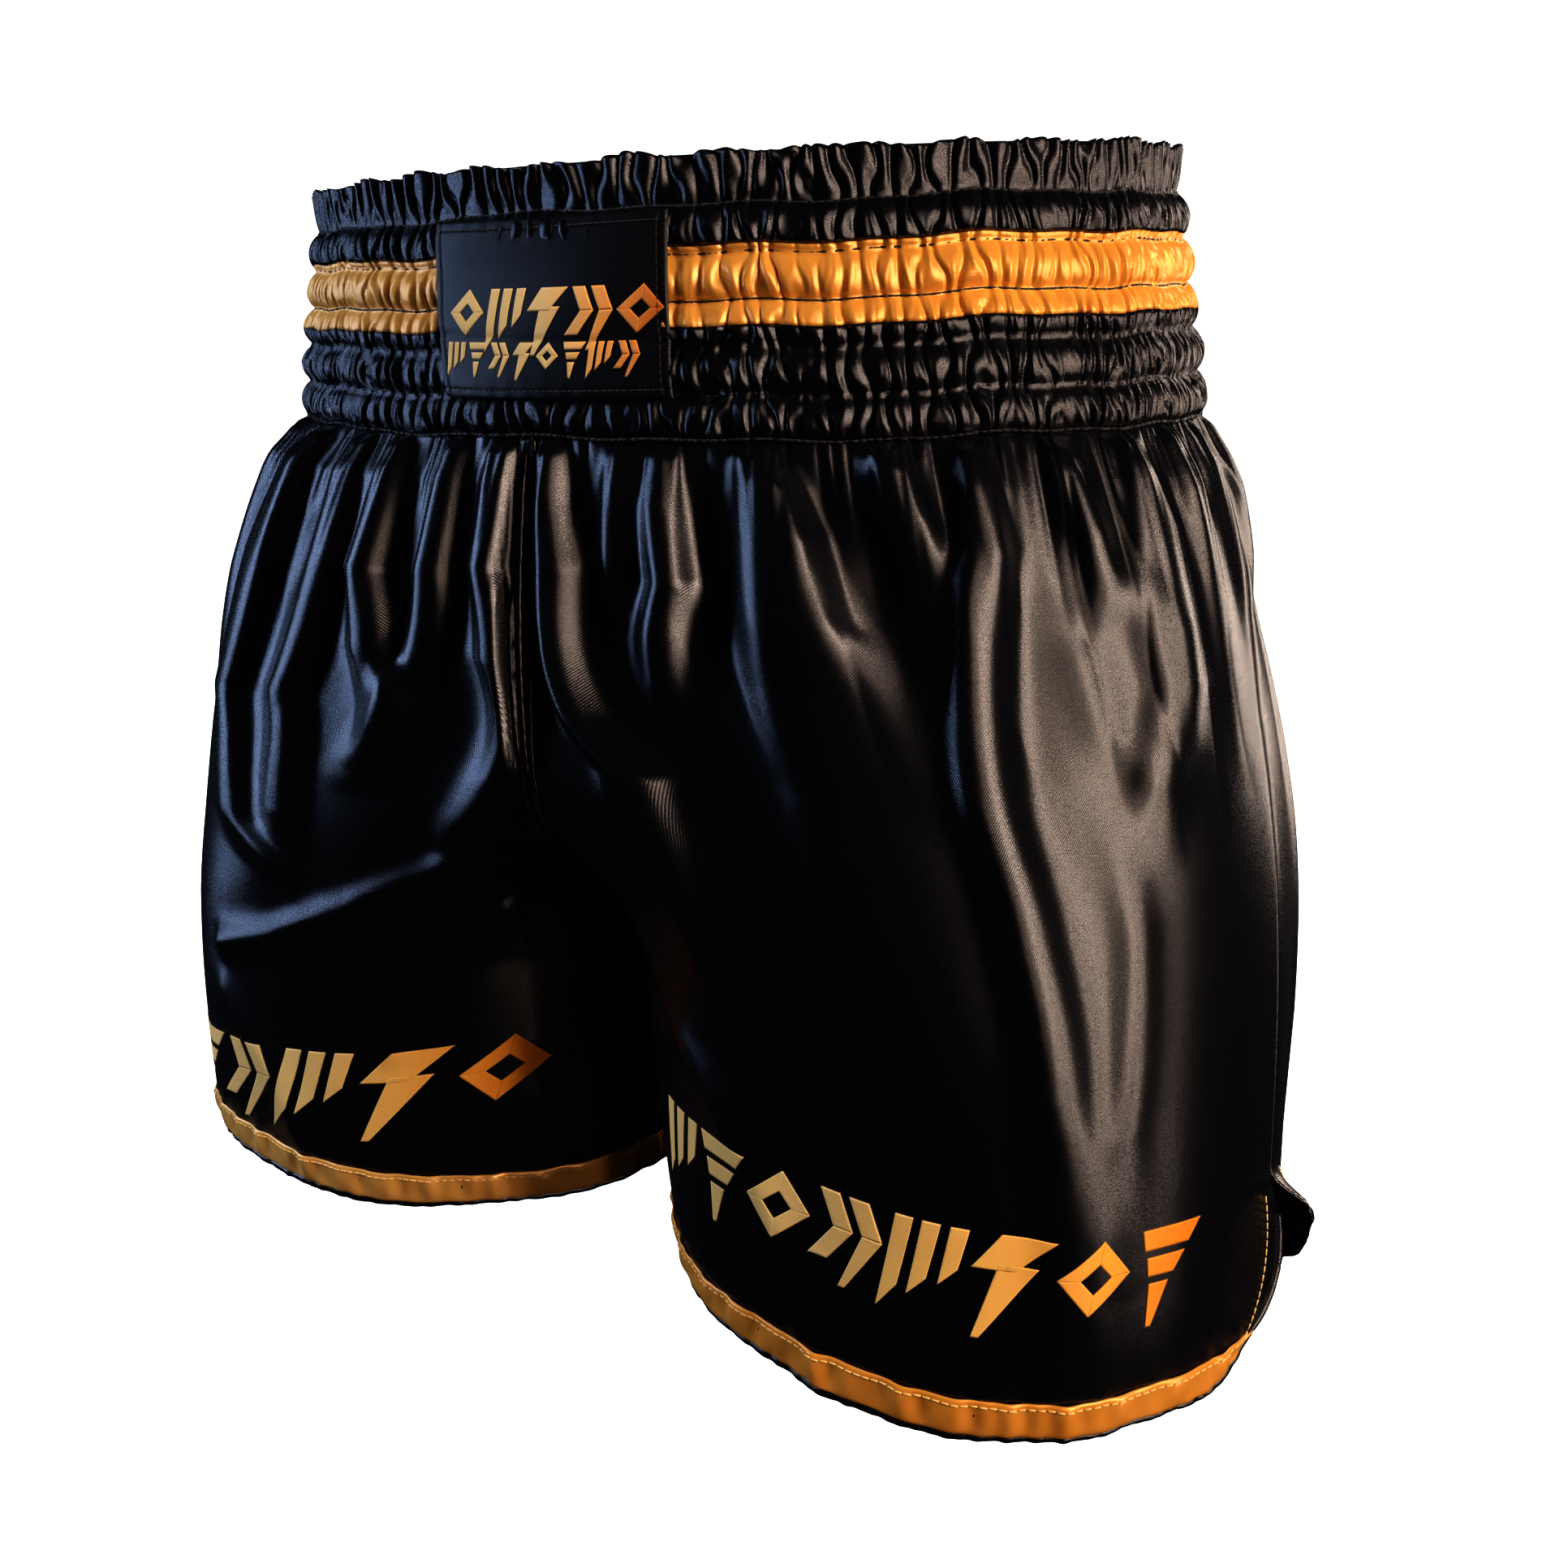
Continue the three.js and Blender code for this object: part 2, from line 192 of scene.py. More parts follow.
def patchy(turn, height, seed, beats=(12, 60), rise=24.0):
    """A smooth uneven field round the waist, near -1 to 1, that closes on itself."""
    dice = np.random.default_rng(seed)
    total = 0
    for _ in range(9):
        waves, start = dice.integers(*beats), dice.uniform(0, 6.28)
        shift, stretch = dice.uniform(0, 6.28), dice.uniform(0.4, 1.4)
        total = total + np.sin(waves * turn + start + np.cos(height * 6.28 / rise * stretch + shift))
    return total / 3.0


def pleat(phase):
    """Round on top and pinched underneath, with its middle at nought."""
    return np.abs(np.cos(phase / 2)) ** 0.8 - 0.68


def line_sag(turn):
    """The stitched lines run up and down a little round the waist."""
    return 0.45 * np.sin(7 * turn + 1.0) + 0.4 * np.sin(13 * turn + 2.2) + 0.3 * np.sin(29 * turn + 0.4)


def casing_out(turn, height):
    """How far the casing's face stands out from the waist's own line, at a turn and a height."""
    frill = np.clip((height - first_line) / (waist_top - first_line), 0, 1)
    row = np.clip((first_line - height) / row_pitch, 0, 5)
    belly = np.abs(np.sin(row * np.pi))
    tall = 1.6 * (0.42 + 0.58 * belly ** 0.7) * (1 + 0.42 * patchy(turn, height, 3))
    ruffle = 1.25 + 1.0 * frill
    size = np.where(height > first_line, ruffle * (0.42 + 0.58 * np.minimum(1, frill * 3)), tall)
    phase = gather_phase(turn, height)
    body = -0.95 + np.where(height > first_line, 3.0 * frill ** 0.6, 3.5 * belly ** 0.6)
    small = 0.16 * np.cos(2.6 * phase + 3 * patchy(turn, height, 5)) * belly
    drift = 0.35 * patchy(turn, height, 8, (4, 24), 60) * (0.3 + belly + frill)
    return body + 1.0 + size * pleat(phase) + small + drift


def waist_place(turn, height, out):
    """A point of the waistband: turn runs round from the middle of the front, out stands off it."""
    share = (waist_top - height) / (waist_top - waist_seam)
    wide = top_half_width + (seam_half_width - top_half_width) * share
    deep = top_half_depth + (seam_half_depth - top_half_depth) * share
    nx, ny = np.sin(turn) / wide, -np.cos(turn) / deep
    size = np.hypot(nx, ny)
    x = wide * np.sin(turn) + out * nx / size
    y = -deep * np.cos(turn) + out * ny / size
    return np.stack([x, y, height + waist_tilt * y], -1)


def face_normals(face, outward, ring):
    """Unit normals of a grid of cloth; outward is -1 where the grid runs the other way round."""
    down = np.gradient(face, axis=0)
    along = np.roll(face, -1, 1) - np.roll(face, 1, 1) if ring else np.gradient(face, axis=1)
    normal = np.cross(down, along) * outward
    return normal / np.maximum(np.linalg.norm(normal, axis=-1, keepdims=True), 1e-9)


def sewn_piece(name, face, thickness, flat, finish, outward=1, ring=False):
    """A closed piece of cloth from the grid of its outer face; flat is the same grid laid flat."""
    rows, columns = face.shape[:2]
    layer = rows * columns
    inner = face - face_normals(face, outward, ring) * thickness
    points = np.concatenate([face.reshape(-1, 3), inner.reshape(-1, 3)])
    spans = columns if ring else columns - 1
    corners = ((0, 0), (1, 0), (1, 1), (0, 1))
    if outward < 0:
        corners = corners[::-1]

    def at(row, column):
        return row * columns + column % columns

    i, j = (grid.ravel() for grid in np.meshgrid(np.arange(rows - 1), np.arange(spans), indexing="ij"))
    quads = [np.stack([at(i + a, j + b) for a, b in corners], -1),
             np.stack([layer + at(i + a, j + b) for a, b in corners[::-1]], -1)]
    uv = [np.stack([flat[i + a, j + b] for a, b in corners], 1),
          np.stack([flat[i + a, j + b] for a, b in corners[::-1]], 1)]

    def close_edge(a, b, flat_a, flat_b, first):
        """A wall one cloth thick between the two faces, from a to b along an edge."""
        quad = np.stack([a, b, layer + b, layer + a], -1)
        edge = np.stack([flat_a, flat_b, flat_b, flat_a], 1)
        forward = first == (outward > 0)
        quads.append(quad if forward else quad[:, ::-1])
        uv.append(edge if forward else edge[:, ::-1])

    along, down = np.arange(spans), np.arange(rows - 1)
    for row, first in ((0, True), (rows - 1, False)):
        close_edge(at(row, along), at(row, along + 1), flat[row, along], flat[row, along + 1], first)
    if not ring:
        for column, first in ((0, True), (columns - 1, False)):
            close_edge(at(down + 1, column), at(down, column),
                       flat[down + 1, column], flat[down, column], first)
    return plain_piece(name, points, np.concatenate(quads), np.concatenate(uv), finish)


def plain_piece(name, points, quads, uv, finish):
    """A smooth mesh from points in millimetres, four-sided faces and each corner's place on the cloth."""
    mesh = bpy.data.meshes.new(name)
    mesh.vertices.add(len(points))
    mesh.vertices.foreach_set("co", (points * 0.001).astype(np.float32).ravel())
    mesh.loops.add(quads.size)
    mesh.loops.foreach_set("vertex_index", quads.astype(np.int32).ravel())
    mesh.polygons.add(len(quads))
    mesh.polygons.foreach_set("loop_start", np.arange(0, quads.size, 4, dtype=np.int32))
    mesh.update(calc_edges=True)
    mesh.polygons.foreach_set("use_smooth", np.ones(len(quads), dtype=bool))
    mesh.uv_layers.new(name="cloth").data.foreach_set("uv", uv.astype(np.float32).ravel())
    mesh.materials.append(finish)
    piece = bpy.data.objects.new(name, mesh)
    studio.collection.objects.link(piece)
    return piece


def new_finish(name):
    finish = bpy.data.materials.new(name)
    finish.use_nodes = True
    return finish, finish.node_tree


def satin(name, colour, other, roughness, specular, metal=0.0, weave=0.45, pale=None):
    """Satin: long floats on a fine diagonal twill, with an uneven dye and a grain of single threads. Where
    pale is given, painted light: the colour runs paler toward the wearer's right.
    """
    finish, tree = new_finish(name)
    laid = add_node(tree, "ShaderNodeUVMap", {}, uv_map="cloth").outputs["UV"]
    turned = add_node(tree, "ShaderNodeMapping", {"Vector": laid, "Rotation": (0, 0, math.radians(38))})
    twill = add_node(tree, "ShaderNodeTexWave", {
        "Vector": turned.outputs["Vector"], "Scale": 0.314 / weave, "Distortion": 0.6, "Detail": 1},
        wave_type="BANDS")
    threads = add_node(tree, "ShaderNodeTexNoise", {
        "Vector": laid, "Scale": 2.4, "Detail": 3, "Roughness": 0.75})
    dye = add_node(tree, "ShaderNodeTexNoise", {"Vector": laid, "Scale": 0.03, "Detail": 4})
    half = add_node(tree, "ShaderNodeMath", {0: dye.outputs["Fac"], 1: 0.5}, operation="MULTIPLY")
    both = add_node(tree, "ShaderNodeMath", {0: twill.outputs["Fac"], 1: 0.5, 2: half.outputs[0]},
                    operation="MULTIPLY_ADD")
    shades = add_node(tree, "ShaderNodeMix", {
        "Factor": both.outputs[0], "A": (*colour, 1), "B": (*other, 1)}, data_type="RGBA")
    dyed = shades.outputs["Result"]
    if pale:
        # Painted light: the colour runs paler toward the wearer's right, where the cool lamp falls, and
        # deeper orange toward the warm lamp.
        where = add_node(tree, "ShaderNodeTexCoord", {})
        split = add_node(tree, "ShaderNodeSeparateXYZ", {"Vector": where.outputs["Object"]})
        share = add_node(tree, "ShaderNodeMapRange", {
            "Value": split.outputs["X"], "From Min": 0.14, "From Max": -0.22})
        painted_cool_side = add_node(tree, "ShaderNodeMix", {
            "Factor": share.outputs["Result"], "A": dyed, "B": (*pale, 1)}, data_type="RGBA")
        dyed = painted_cool_side.outputs["Result"]
    rough = add_node(tree, "ShaderNodeMapRange", {
        "Value": threads.outputs["Fac"], "To Min": roughness - 0.07, "To Max": roughness + 0.10})
    relief = add_node(tree, "ShaderNodeMath", {0: threads.outputs["Fac"], 1: 1.3, 2: twill.outputs["Fac"]},
                      operation="MULTIPLY_ADD")
    bump = add_node(tree, "ShaderNodeBump", {
        "Height": relief.outputs[0], "Strength": 0.30, "Distance": 0.00010})
    feed(tree, tree.nodes["Principled BSDF"], {
        "Base Color": dyed, "Roughness": rough.outputs["Result"], "Specular IOR Level": specular,
        "Metallic": metal, "Normal": bump.outputs["Normal"]})
    return finish


black_satin = satin("black_satin", (0.002, 0.0021, 0.0028), (0.0045, 0.0045, 0.0062), 0.24, 0.85)
# The gold carries painted light through pale: paler toward the wearer's right, under the cool lamp.
gold_satin = satin("gold_satin", (0.66, 0.24, 0.028), (0.86, 0.40, 0.085), 0.23, 1.0, metal=0.35,
                   pale=(0.74, 0.46, 0.16))
waist_columns = 1968
turns = np.linspace(0, 2 * np.pi, waist_columns + 1)
waist_girth, gather_fullness, casing_cloth, frill_edge = 905.0, 1.35, 0.5, 4.0


def casing_piece(name, node, high, low, rows, finish):
    """One strip of the casing between two heights; the frill's own edge is left ragged."""
    heights = np.linspace(high, low, rows)
    turn, height = np.meshgrid(turns[:-1], heights)
    edge = np.clip((height - (waist_top - frill_edge)) / frill_edge, 0, 1)
    ragged = edge * (0.8 * patchy(turn, 0, 21, (8, 40)) + 0.6 * pleat(gather_phase(turn, waist_top)))
    sag = line_sag(turn) * (1 - edge)
    out = casing_out(turn, height)
    face = waist_place(turn, height + sag + ragged, out)
    flat = np.stack([np.tile(turns * waist_girth * gather_fullness / (2 * np.pi), (rows, 1)),
                     np.tile(heights[:, None], (1, waist_columns + 1))], -1)
    piece = sewn_piece(name, face, casing_cloth, flat, finish, ring=True)
    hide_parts(node)
    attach(piece, "root")
    return piece


# ---- Elastic ------------------------------------------------------------------------------
# Five woven elastic bands lie in the casing, one to a row. Fine upright ribs show that the rubber
# runs along them.
elastic_ribs, elastic_height, elastic_thickness, elastic_flat_radius = 540, 9.0, 1.0, 140
elastic_web, web_tree = new_finish("elastic")
spread = add_node(web_tree, "ShaderNodeUVMap", {}, uv_map="cloth")
ribs = add_node(web_tree, "ShaderNodeTexWave", {"Vector": spread.outputs["UV"], "Scale": 0.3})
yarns = add_node(web_tree, "ShaderNodeMix", {
    "Factor": ribs.outputs["Fac"], "A": (0.55, 0.54, 0.50, 1), "B": (0.72, 0.71, 0.67, 1)}, data_type="RGBA")
feed(web_tree, web_tree.nodes["Principled BSDF"], {"Roughness": 0.85, "Base Color": yarns.outputs["Result"]})
for row in range(5):
    middle = first_line - (row + 0.5) * row_pitch
    levels = np.linspace(elastic_height / 2, -elastic_height / 2, 6)
    band_turns = np.linspace(0, 2 * np.pi, elastic_ribs * 2 + 1)
    turn, height = np.meshgrid(band_turns[:-1], middle + levels)
    band_face = waist_place(turn, height, 0.45 + 0.15 * np.cos(turn * elastic_ribs))
    band_flat = np.stack(np.meshgrid(band_turns * elastic_flat_radius, levels), -1)
    band = sewn_piece(f"elastic_band_{row + 1}", band_face, elastic_thickness, band_flat, elastic_web,
                      ring=True)
    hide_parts(f"elastic_row_{row + 1}")
    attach(band, "root")

strip_gap = 0.1
top_strip = casing_piece("waist_top_satin", "waist_top_strip", waist_top, gold_top + strip_gap, 22,
                         black_satin)
gold_strip = casing_piece("waist_gold_satin", "waist_gold_strip", gold_top, gold_bottom, 20,
                          gold_satin)
lower_strip = casing_piece("waist_lower_satin", "waist_lower_strip", gold_bottom - strip_gap, waist_seam, 24,
                           black_satin)

# ---- Waistband facing ---------------------------------------------------------------------
# The casing's inner layer: the same satin turned over at the frill, drawn up by the same stitches.
facing_fullness = 1.2
facing_heights = np.linspace(waist_top - 0.4, waist_seam, 34)
turn, height = np.meshgrid(turns[:-1:2], facing_heights)
facing_sag = line_sag(turn) * np.clip((waist_top - height) / frill_edge, 0, 1)
toward_frill = 2.6 * np.clip((height - first_line) / 14, 0, 1) ** 0.6
facing_face = waist_place(turn, height + facing_sag,
                          -1.3 + 0.42 * pleat(gather_phase(turn, height)) + toward_frill)
facing_round = turns[::2] * waist_girth * facing_fullness / (2 * np.pi)
facing_flat = np.stack(np.meshgrid(facing_round, facing_heights), -1)
facing = sewn_piece("waist_facing_satin", facing_face, casing_cloth, facing_flat, black_satin, ring=True)
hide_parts("waist_facing")
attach(facing, "root")

# ---- Stitched lines of the waistband ------------------------------------------------------
# Six rows of black lockstitch hold the elastic rows apart. Each stitch is a short length of thread
# lying on the gathers, laid end to end with a small gap.


def stitch_tree():
    """Stitches along an edge path, with the pitch, length, thickness and thread as inputs."""
    tree = bpy.data.node_groups.new("lockstitch", "GeometryNodeTree")
    face = tree.interface
    face.new_socket("Geometry", in_out="INPUT", socket_type="NodeSocketGeometry")
    for label, value in (("Stitch pitch", 0.0026), ("Stitch length", 0.002), ("Thread radius", 0.00022)):
        socket = face.new_socket(label, in_out="INPUT", socket_type="NodeSocketFloat")
        socket.default_value = value
    face.new_socket("Thread", in_out="INPUT", socket_type="NodeSocketMaterial")
    face.new_socket("Geometry", in_out="OUTPUT", socket_type="NodeSocketGeometry")
    given = add_node(tree, "NodeGroupInput", {}).outputs
    path = add_node(tree, "GeometryNodeMeshToCurve", {"Mesh": given["Geometry"]})
    spaced = add_node(tree, "GeometryNodeResampleCurve", {
        "Curve": path.outputs["Curve"], "Length": given["Stitch pitch"]}, mode="LENGTH")
    thread = add_node(tree, "GeometryNodeMeshCylinder", {
        "Vertices": 6, "Side Segments": 2, "Depth": given["Stitch length"], "Radius": given["Thread radius"]})
    along = add_node(tree, "GeometryNodeInputTangent", {})
    lie = add_node(tree, "FunctionNodeAlignRotationToVector", {"Vector": along.outputs["Tangent"]}, axis="Z")
    place = add_node(tree, "GeometryNodeInstanceOnPoints", {
        "Points": spaced.outputs["Curve"], "Instance": thread.outputs["Mesh"],
        "Rotation": lie.outputs["Rotation"]})
    real = add_node(tree, "GeometryNodeRealizeInstances", {"Geometry": place.outputs["Instances"]})
    dyed = add_node(tree, "GeometryNodeSetMaterial", {
        "Geometry": real.outputs["Geometry"], "Material": given["Thread"]})
    add_node(tree, "NodeGroupOutput", {"Geometry": dyed.outputs["Geometry"]})
    return tree


lockstitch = stitch_tree()


def stitched(name, paths, pitch, length, radius, thread):
    """Thread stitches along open or closed paths, each a list of points in millimetres."""
    points, edges = [], []
    for path in paths:
        first = len(points)
        points.extend((np.asarray(path) * 0.001).tolist())
        edges.extend((first + k, first + k + 1) for k in range(len(path) - 1))
    guide = bpy.data.meshes.new(name + "_guide")
    guide.from_pydata(points, edges, [])
    carrier = bpy.data.objects.new(name + "_guide", guide)
    studio.collection.objects.link(carrier)
    sewing = carrier.modifiers.new("sewing", "NODES")
    sewing.node_group = lockstitch
    sockets = {item.name: item.identifier
               for item in lockstitch.interface.items_tree if item.in_out == "INPUT"}
    sewing[sockets["Stitch pitch"]] = pitch * 0.001
    sewing[sockets["Stitch length"]] = length * 0.001
    sewing[sockets["Thread radius"]] = radius * 0.001
    sewing[sockets["Thread"]] = thread
    bpy.context.view_layer.update()
    mesh = bpy.data.meshes.new_from_object(carrier.evaluated_get(bpy.context.evaluated_depsgraph_get()))
    mesh.name = name
    bpy.data.objects.remove(carrier)
    mesh.polygons.foreach_set("use_smooth", np.ones(len(mesh.polygons), dtype=bool))
    piece = bpy.data.objects.new(name, mesh)
    studio.collection.objects.link(piece)
    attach(piece, "root")
    return piece


def thread_finish(name, colour, sheen):
    """Spun polyester thread: matt, with a faint twist."""
    finish, tree = new_finish(name)
    spot = add_node(tree, "ShaderNodeTexCoord", {})
    twist = add_node(tree, "ShaderNodeTexNoise", {"Vector": spot.outputs["Object"], "Scale": 2600})
    shade = add_node(tree, "ShaderNodeMix", {
        "Factor": twist.outputs["Fac"], "A": (*[c * 0.6 for c in colour], 1), "B": (*colour, 1)},
        data_type="RGBA")
    feed(tree, tree.nodes["Principled BSDF"], {
        "Roughness": 0.55, "Sheen Weight": sheen, "Base Color": shade.outputs["Result"]})
    return finish


black_thread = thread_finish("black_thread", (0.012, 0.011, 0.012), 0.15)
gold_thread = thread_finish("gold_thread", (0.85, 0.56, 0.2), 0.2)
line_turns = np.linspace(0, 2 * np.pi, 2801)
thread_lift = 0.62
line_paths = []
for height in line_heights[:5] + [waist_seam + 0.6]:
    level_line = np.full_like(line_turns, height)
    line_paths.append(waist_place(line_turns, level_line + line_sag(line_turns),
                                  casing_out(line_turns, level_line) + thread_lift))
stitched("waist_line_stitches", line_paths, 2.5, 2.45, 0.36, black_thread)

# ---- Legs ---------------------------------------------------------------------------------
# Four panels of black satin, gathered into the waistband. Each leg closes with an inseam and a
# side seam that stops at a slit, and the hem rounds up to the slit.
hem_drop, hem_half_width, hem_half_depth, hem_centre = 346.0, 113.0, 111.0, 123.0
side_fullness, seat_fullness, leg_squareness = 2.4, 8.0, 0.28
leg_length = hem_drop + waist_seam
crotch_drop, gusset_leg = 205.0, 55.0
crotch_share, rise_sharpness = (crotch_drop + waist_seam) / leg_length, 3.8
gusset_angle, gusset_leg_share = 0.9, (crotch_drop + waist_seam + gusset_leg) / leg_length
gusset_front_share = crotch_share * math.cos(gusset_angle) ** (1 / rise_sharpness)
slit_length, slit_spread = 55.0, 20.0
slit_share = 1 - slit_length / leg_length
corner_rise, corner_width = 30.0, 34.0
seam_gap, leg_satin = 0.12, 0.6


def leg_lean(share):
    """How far out the leg's middle is, in half widths: nought at the waist, one at the crotch."""
    spread = hem_centre / hem_half_width
    return np.where(share < crotch_share, np.clip(share / crotch_share, 0, 1) ** rise_sharpness,
                    1 + (spread - 1) * (share - crotch_share) / (1 - crotch_share))


def leg_ring(share, eased=0.0):
    """Centre, half width and half depth of a leg; eased rounds the change of shape at the crotch."""
    fill = 1 - np.clip(1 - share, 0, 1) ** side_fullness
    outer = seam_half_width + (hem_centre + hem_half_width - seam_half_width) * fill
    sharp = leg_lean(share)
    soft = sum(leg_lean(share + step) for step in np.linspace(-0.12, 0.12, 9)) / 9
    lean = sharp + (soft - sharp) * eased
    half_width = outer / (1 + lean)
    return lean * half_width, half_width, seam_half_depth + (hem_half_depth - seam_half_depth) * fill


def swell(angle, share, reach, at, down, wide, tall):
    """A soft bulge of the whole leg, centred so many degrees round and at a share of its length."""
    return reach * np.exp(-((np.degrees(angle) - at) / wide) ** 2 - ((share - down) / tall) ** 2)


def eased(value):
    return value * value * (3 - 2 * value)


def leg_base(side, angle, share):
    """The leg as it hangs, before its folds: angle runs from the inseam over the front and round."""
    centre, half_width, half_depth = leg_ring(share)
    away = np.clip((centre - half_width * np.cos(angle) - 12) / 45, 0, 1)
    centre, half_width, half_depth = leg_ring(share, eased(away))
    seat = np.where(angle > np.pi, seat_fullness * np.sin(np.clip(share, 0, 1) * np.pi), 0)
    power = 2 + leg_squareness * np.sqrt(np.maximum(0, np.sin(np.pi * np.clip(share, 0, 1))))
    depth = np.maximum(0, 1 - np.abs(np.cos(angle)) ** power) ** (1 / power)
    x = centre - half_width * np.cos(angle)
    y = -(half_depth + seat) * depth * np.sign(np.sin(angle))
    if side < 0:
        proud = swell(angle, share, 11.3, 133, 0.20, 38, 0.22) + swell(angle, share, 5.0, 147, 0.72, 38, 0.3)
    else:
        proud = (swell(angle, share, 2.1, 180, 0.08, 40, 0.1) + swell(angle, share, -4.1, 185, 0.7, 40, 0.3)
                 + swell(angle, share, -3.4, 72, 1.0, 35, 0.3))
    proud = proud * np.clip(share / 0.05, 0, 1)
    nx, ny = -np.cos(angle) / half_width, -np.sin(angle) / half_depth
    size = np.hypot(nx, ny)
    x, y = x + proud * nx / size, y + proud * ny / size
    drop = 2.85 if side > 0 else -0.6
    drop = drop * np.exp(-((np.degrees(angle) - 110) / 50) ** 2) * np.clip(share, 0, 1) ** 3
    z = waist_seam - share * leg_length + waist_tilt * y * (1 - share) ** 2 - drop
    return np.stack([side * x, y, z], -1)


def rise_angle(share, gap):
    """Where the cloth comes within gap of the shorts' middle, above the gusset."""
    centre, half_width, _ = leg_ring(share)
    return np.arccos(np.clip((centre - gap) / half_width, -1, 1))


def inner_edge(share):
    """A panel's edge at the rise, then along the gusset, then down the inseam."""
    gap = seam_gap / leg_ring(share)[1]
    along = (gusset_leg_share - share) / (gusset_leg_share - gusset_front_share)
    return np.where(share < gusset_front_share, rise_angle(share, seam_gap),
                    np.maximum(gusset_angle * along, 0) + gap)


def outer_edge(share):
    """A panel's edge at the side seam, drawing back below the head of the slit."""
    open_share = np.maximum(0, (share - slit_share) / (1 - slit_share))
    return np.pi - (seam_gap / 2 + slit_spread * open_share) / leg_ring(share)[1]


def hem_share(across):
    """Where the hem lies: level, and rounded up to the slit at the outer corner."""
    start = 1 - corner_width / (np.pi * hem_half_width)
    bend = np.clip((across - start) / (1 - start), 0, 1)
    return 1 - (corner_rise / leg_length) * (1 - np.sqrt(1 - bend ** 2))


def rise(value):
    """A smooth step from nought to one."""
    return 0.5 * (1 + np.tanh(value))


def along_fold(depth, levels, column):
    levels = np.asarray(levels, float)
    return np.interp(depth, levels[:, 0], levels[:, column])


# Each fold is a list of levels: depth below the waistband, then its inner wall's angle and softness,
# its outer wall's angle and softness in degrees, and how far it stands out.
left_front_folds = [
    [(0, 91.6, 0.5, 94.4, 0.8, 4), (20, 92, 0.6, 95, 1.0, 8), (42, 92.4, 0.6, 96.2, 1.2, 11),
     (66, 91.4, 0.7, 94.6, 1.2, 11), (91, 89.4, 1, 93.4, 1.2, 11), (108, 89, 1.4, 94.6, 1.6, 11),
     (128, 83, 2.2, 88.5, 2.2, 9), (150, 75, 3.2, 81, 3.2, 7), (185, 68, 5, 76, 5, 0)],
    [(0, 100, 0.8, 103, 0.8, 3), (14, 99.6, 1, 103.4, 1, 6), (40, 98.6, 1, 102.4, 1.2, 5),
     (60, 97.6, 1.2, 101, 1.4, 0)],
    [(0, 104.4, 1.2, 107.6, 0.8, 4), (20, 104, 1.2, 107.6, 1.0, 9), (45, 104, 1.3, 107.8, 1.1, 11),
     (62, 101.6, 1.3, 105.6, 1.2, 9), (80, 99.6, 1.4, 103.2, 1.5, 5), (98, 98, 2, 101, 2, 0)],
    [(0, 113.4, 1.0, 117.4, 0.8, 4), (14, 113.8, 1.4, 119.6, 1.1, 10),
     (30, 113.6, 1.8, 121.4, 1.2, 12), (56, 112.6, 2.2, 122.6, 1.8, 12), (76, 111.6, 2.4, 124.5, 5, 9),
     (105, 109.8, 2.8, 127, 10, 7), (140, 104, 3.6, 122, 12, 5), (180, 98, 5, 118, 12, 3.5),
     (250, 90, 7, 114, 12, 0)],
    [(0, 127, 0.8, 131.2, 0.7, 3), (10, 127.3, 1.0, 132.2, 0.9, 7), (24, 128, 1.2, 133.2, 1.2, 7.5),
     (40, 129, 1.4, 134.6, 2.2, 6), (60, 129, 1.8, 135, 3, 4), (90, 127, 2.4, 134, 4, 2),
     (120, 126, 4, 133, 5, 0)],
    [(0, 136.6, 0.8, 140.6, 0.9, 2.5), (15, 136.4, 0.9, 141.2, 1.1, 6),
     (34, 135.4, 1.0, 141.2, 1.4, 8), (62, 132.6, 1.2, 138.4, 1.7, 8.5),
     (110, 127.6, 1.4, 133.8, 2.2, 8), (150, 124.6, 1.8, 132, 2.8, 7), (193, 123, 2.2, 131.5, 3.4, 6),
     (235, 125, 3, 135, 4.4, 5), (300, 126, 4, 138, 5, 2.5)],
    [(0, 147.5, 1.0, 151.5, 0.9, 2), (12, 148, 1.1, 152, 1.1, 5), (30, 149, 1.3, 153.4, 1.3, 5),
     (44, 150, 1.8, 154, 1.8, 3), (60, 150, 2, 155, 2, 0)],
    [(0, 157.4, 1.1, 162, 1.1, 2), (12, 158, 1.2, 163, 1.2, 4.5), (30, 157, 1.4, 165, 1.7, 4.5),
     (50, 155, 1.8, 165, 2.2, 4.5), (76, 155.5, 2, 164, 2.4, 5), (104, 150, 2.2, 158, 3, 3.5),
     (130, 148, 4, 154, 4, 0)],
    [(0, 168, 1.1, 172, 1.1, 2), (20, 168, 1.3, 173, 1.3, 4), (60, 169, 1.8, 174, 1.8, 2.5),
     (110, 170, 2, 175, 2, 0)],
    [(0, 177, 1.2, 180, 1.2, 2), (14, 177, 1.4, 181, 1.4, 4), (46, 178, 1.6, 182.5, 1.6, 3.5),
     (90, 179, 2, 184, 2, 0)],
    [(105, 144, 3, 149, 3, 0), (146, 142, 2, 147, 2.6, 2.6), (207, 135, 2.6, 141, 3.5, 2.6),
     (260, 134, 4, 143, 5, 0)],
]
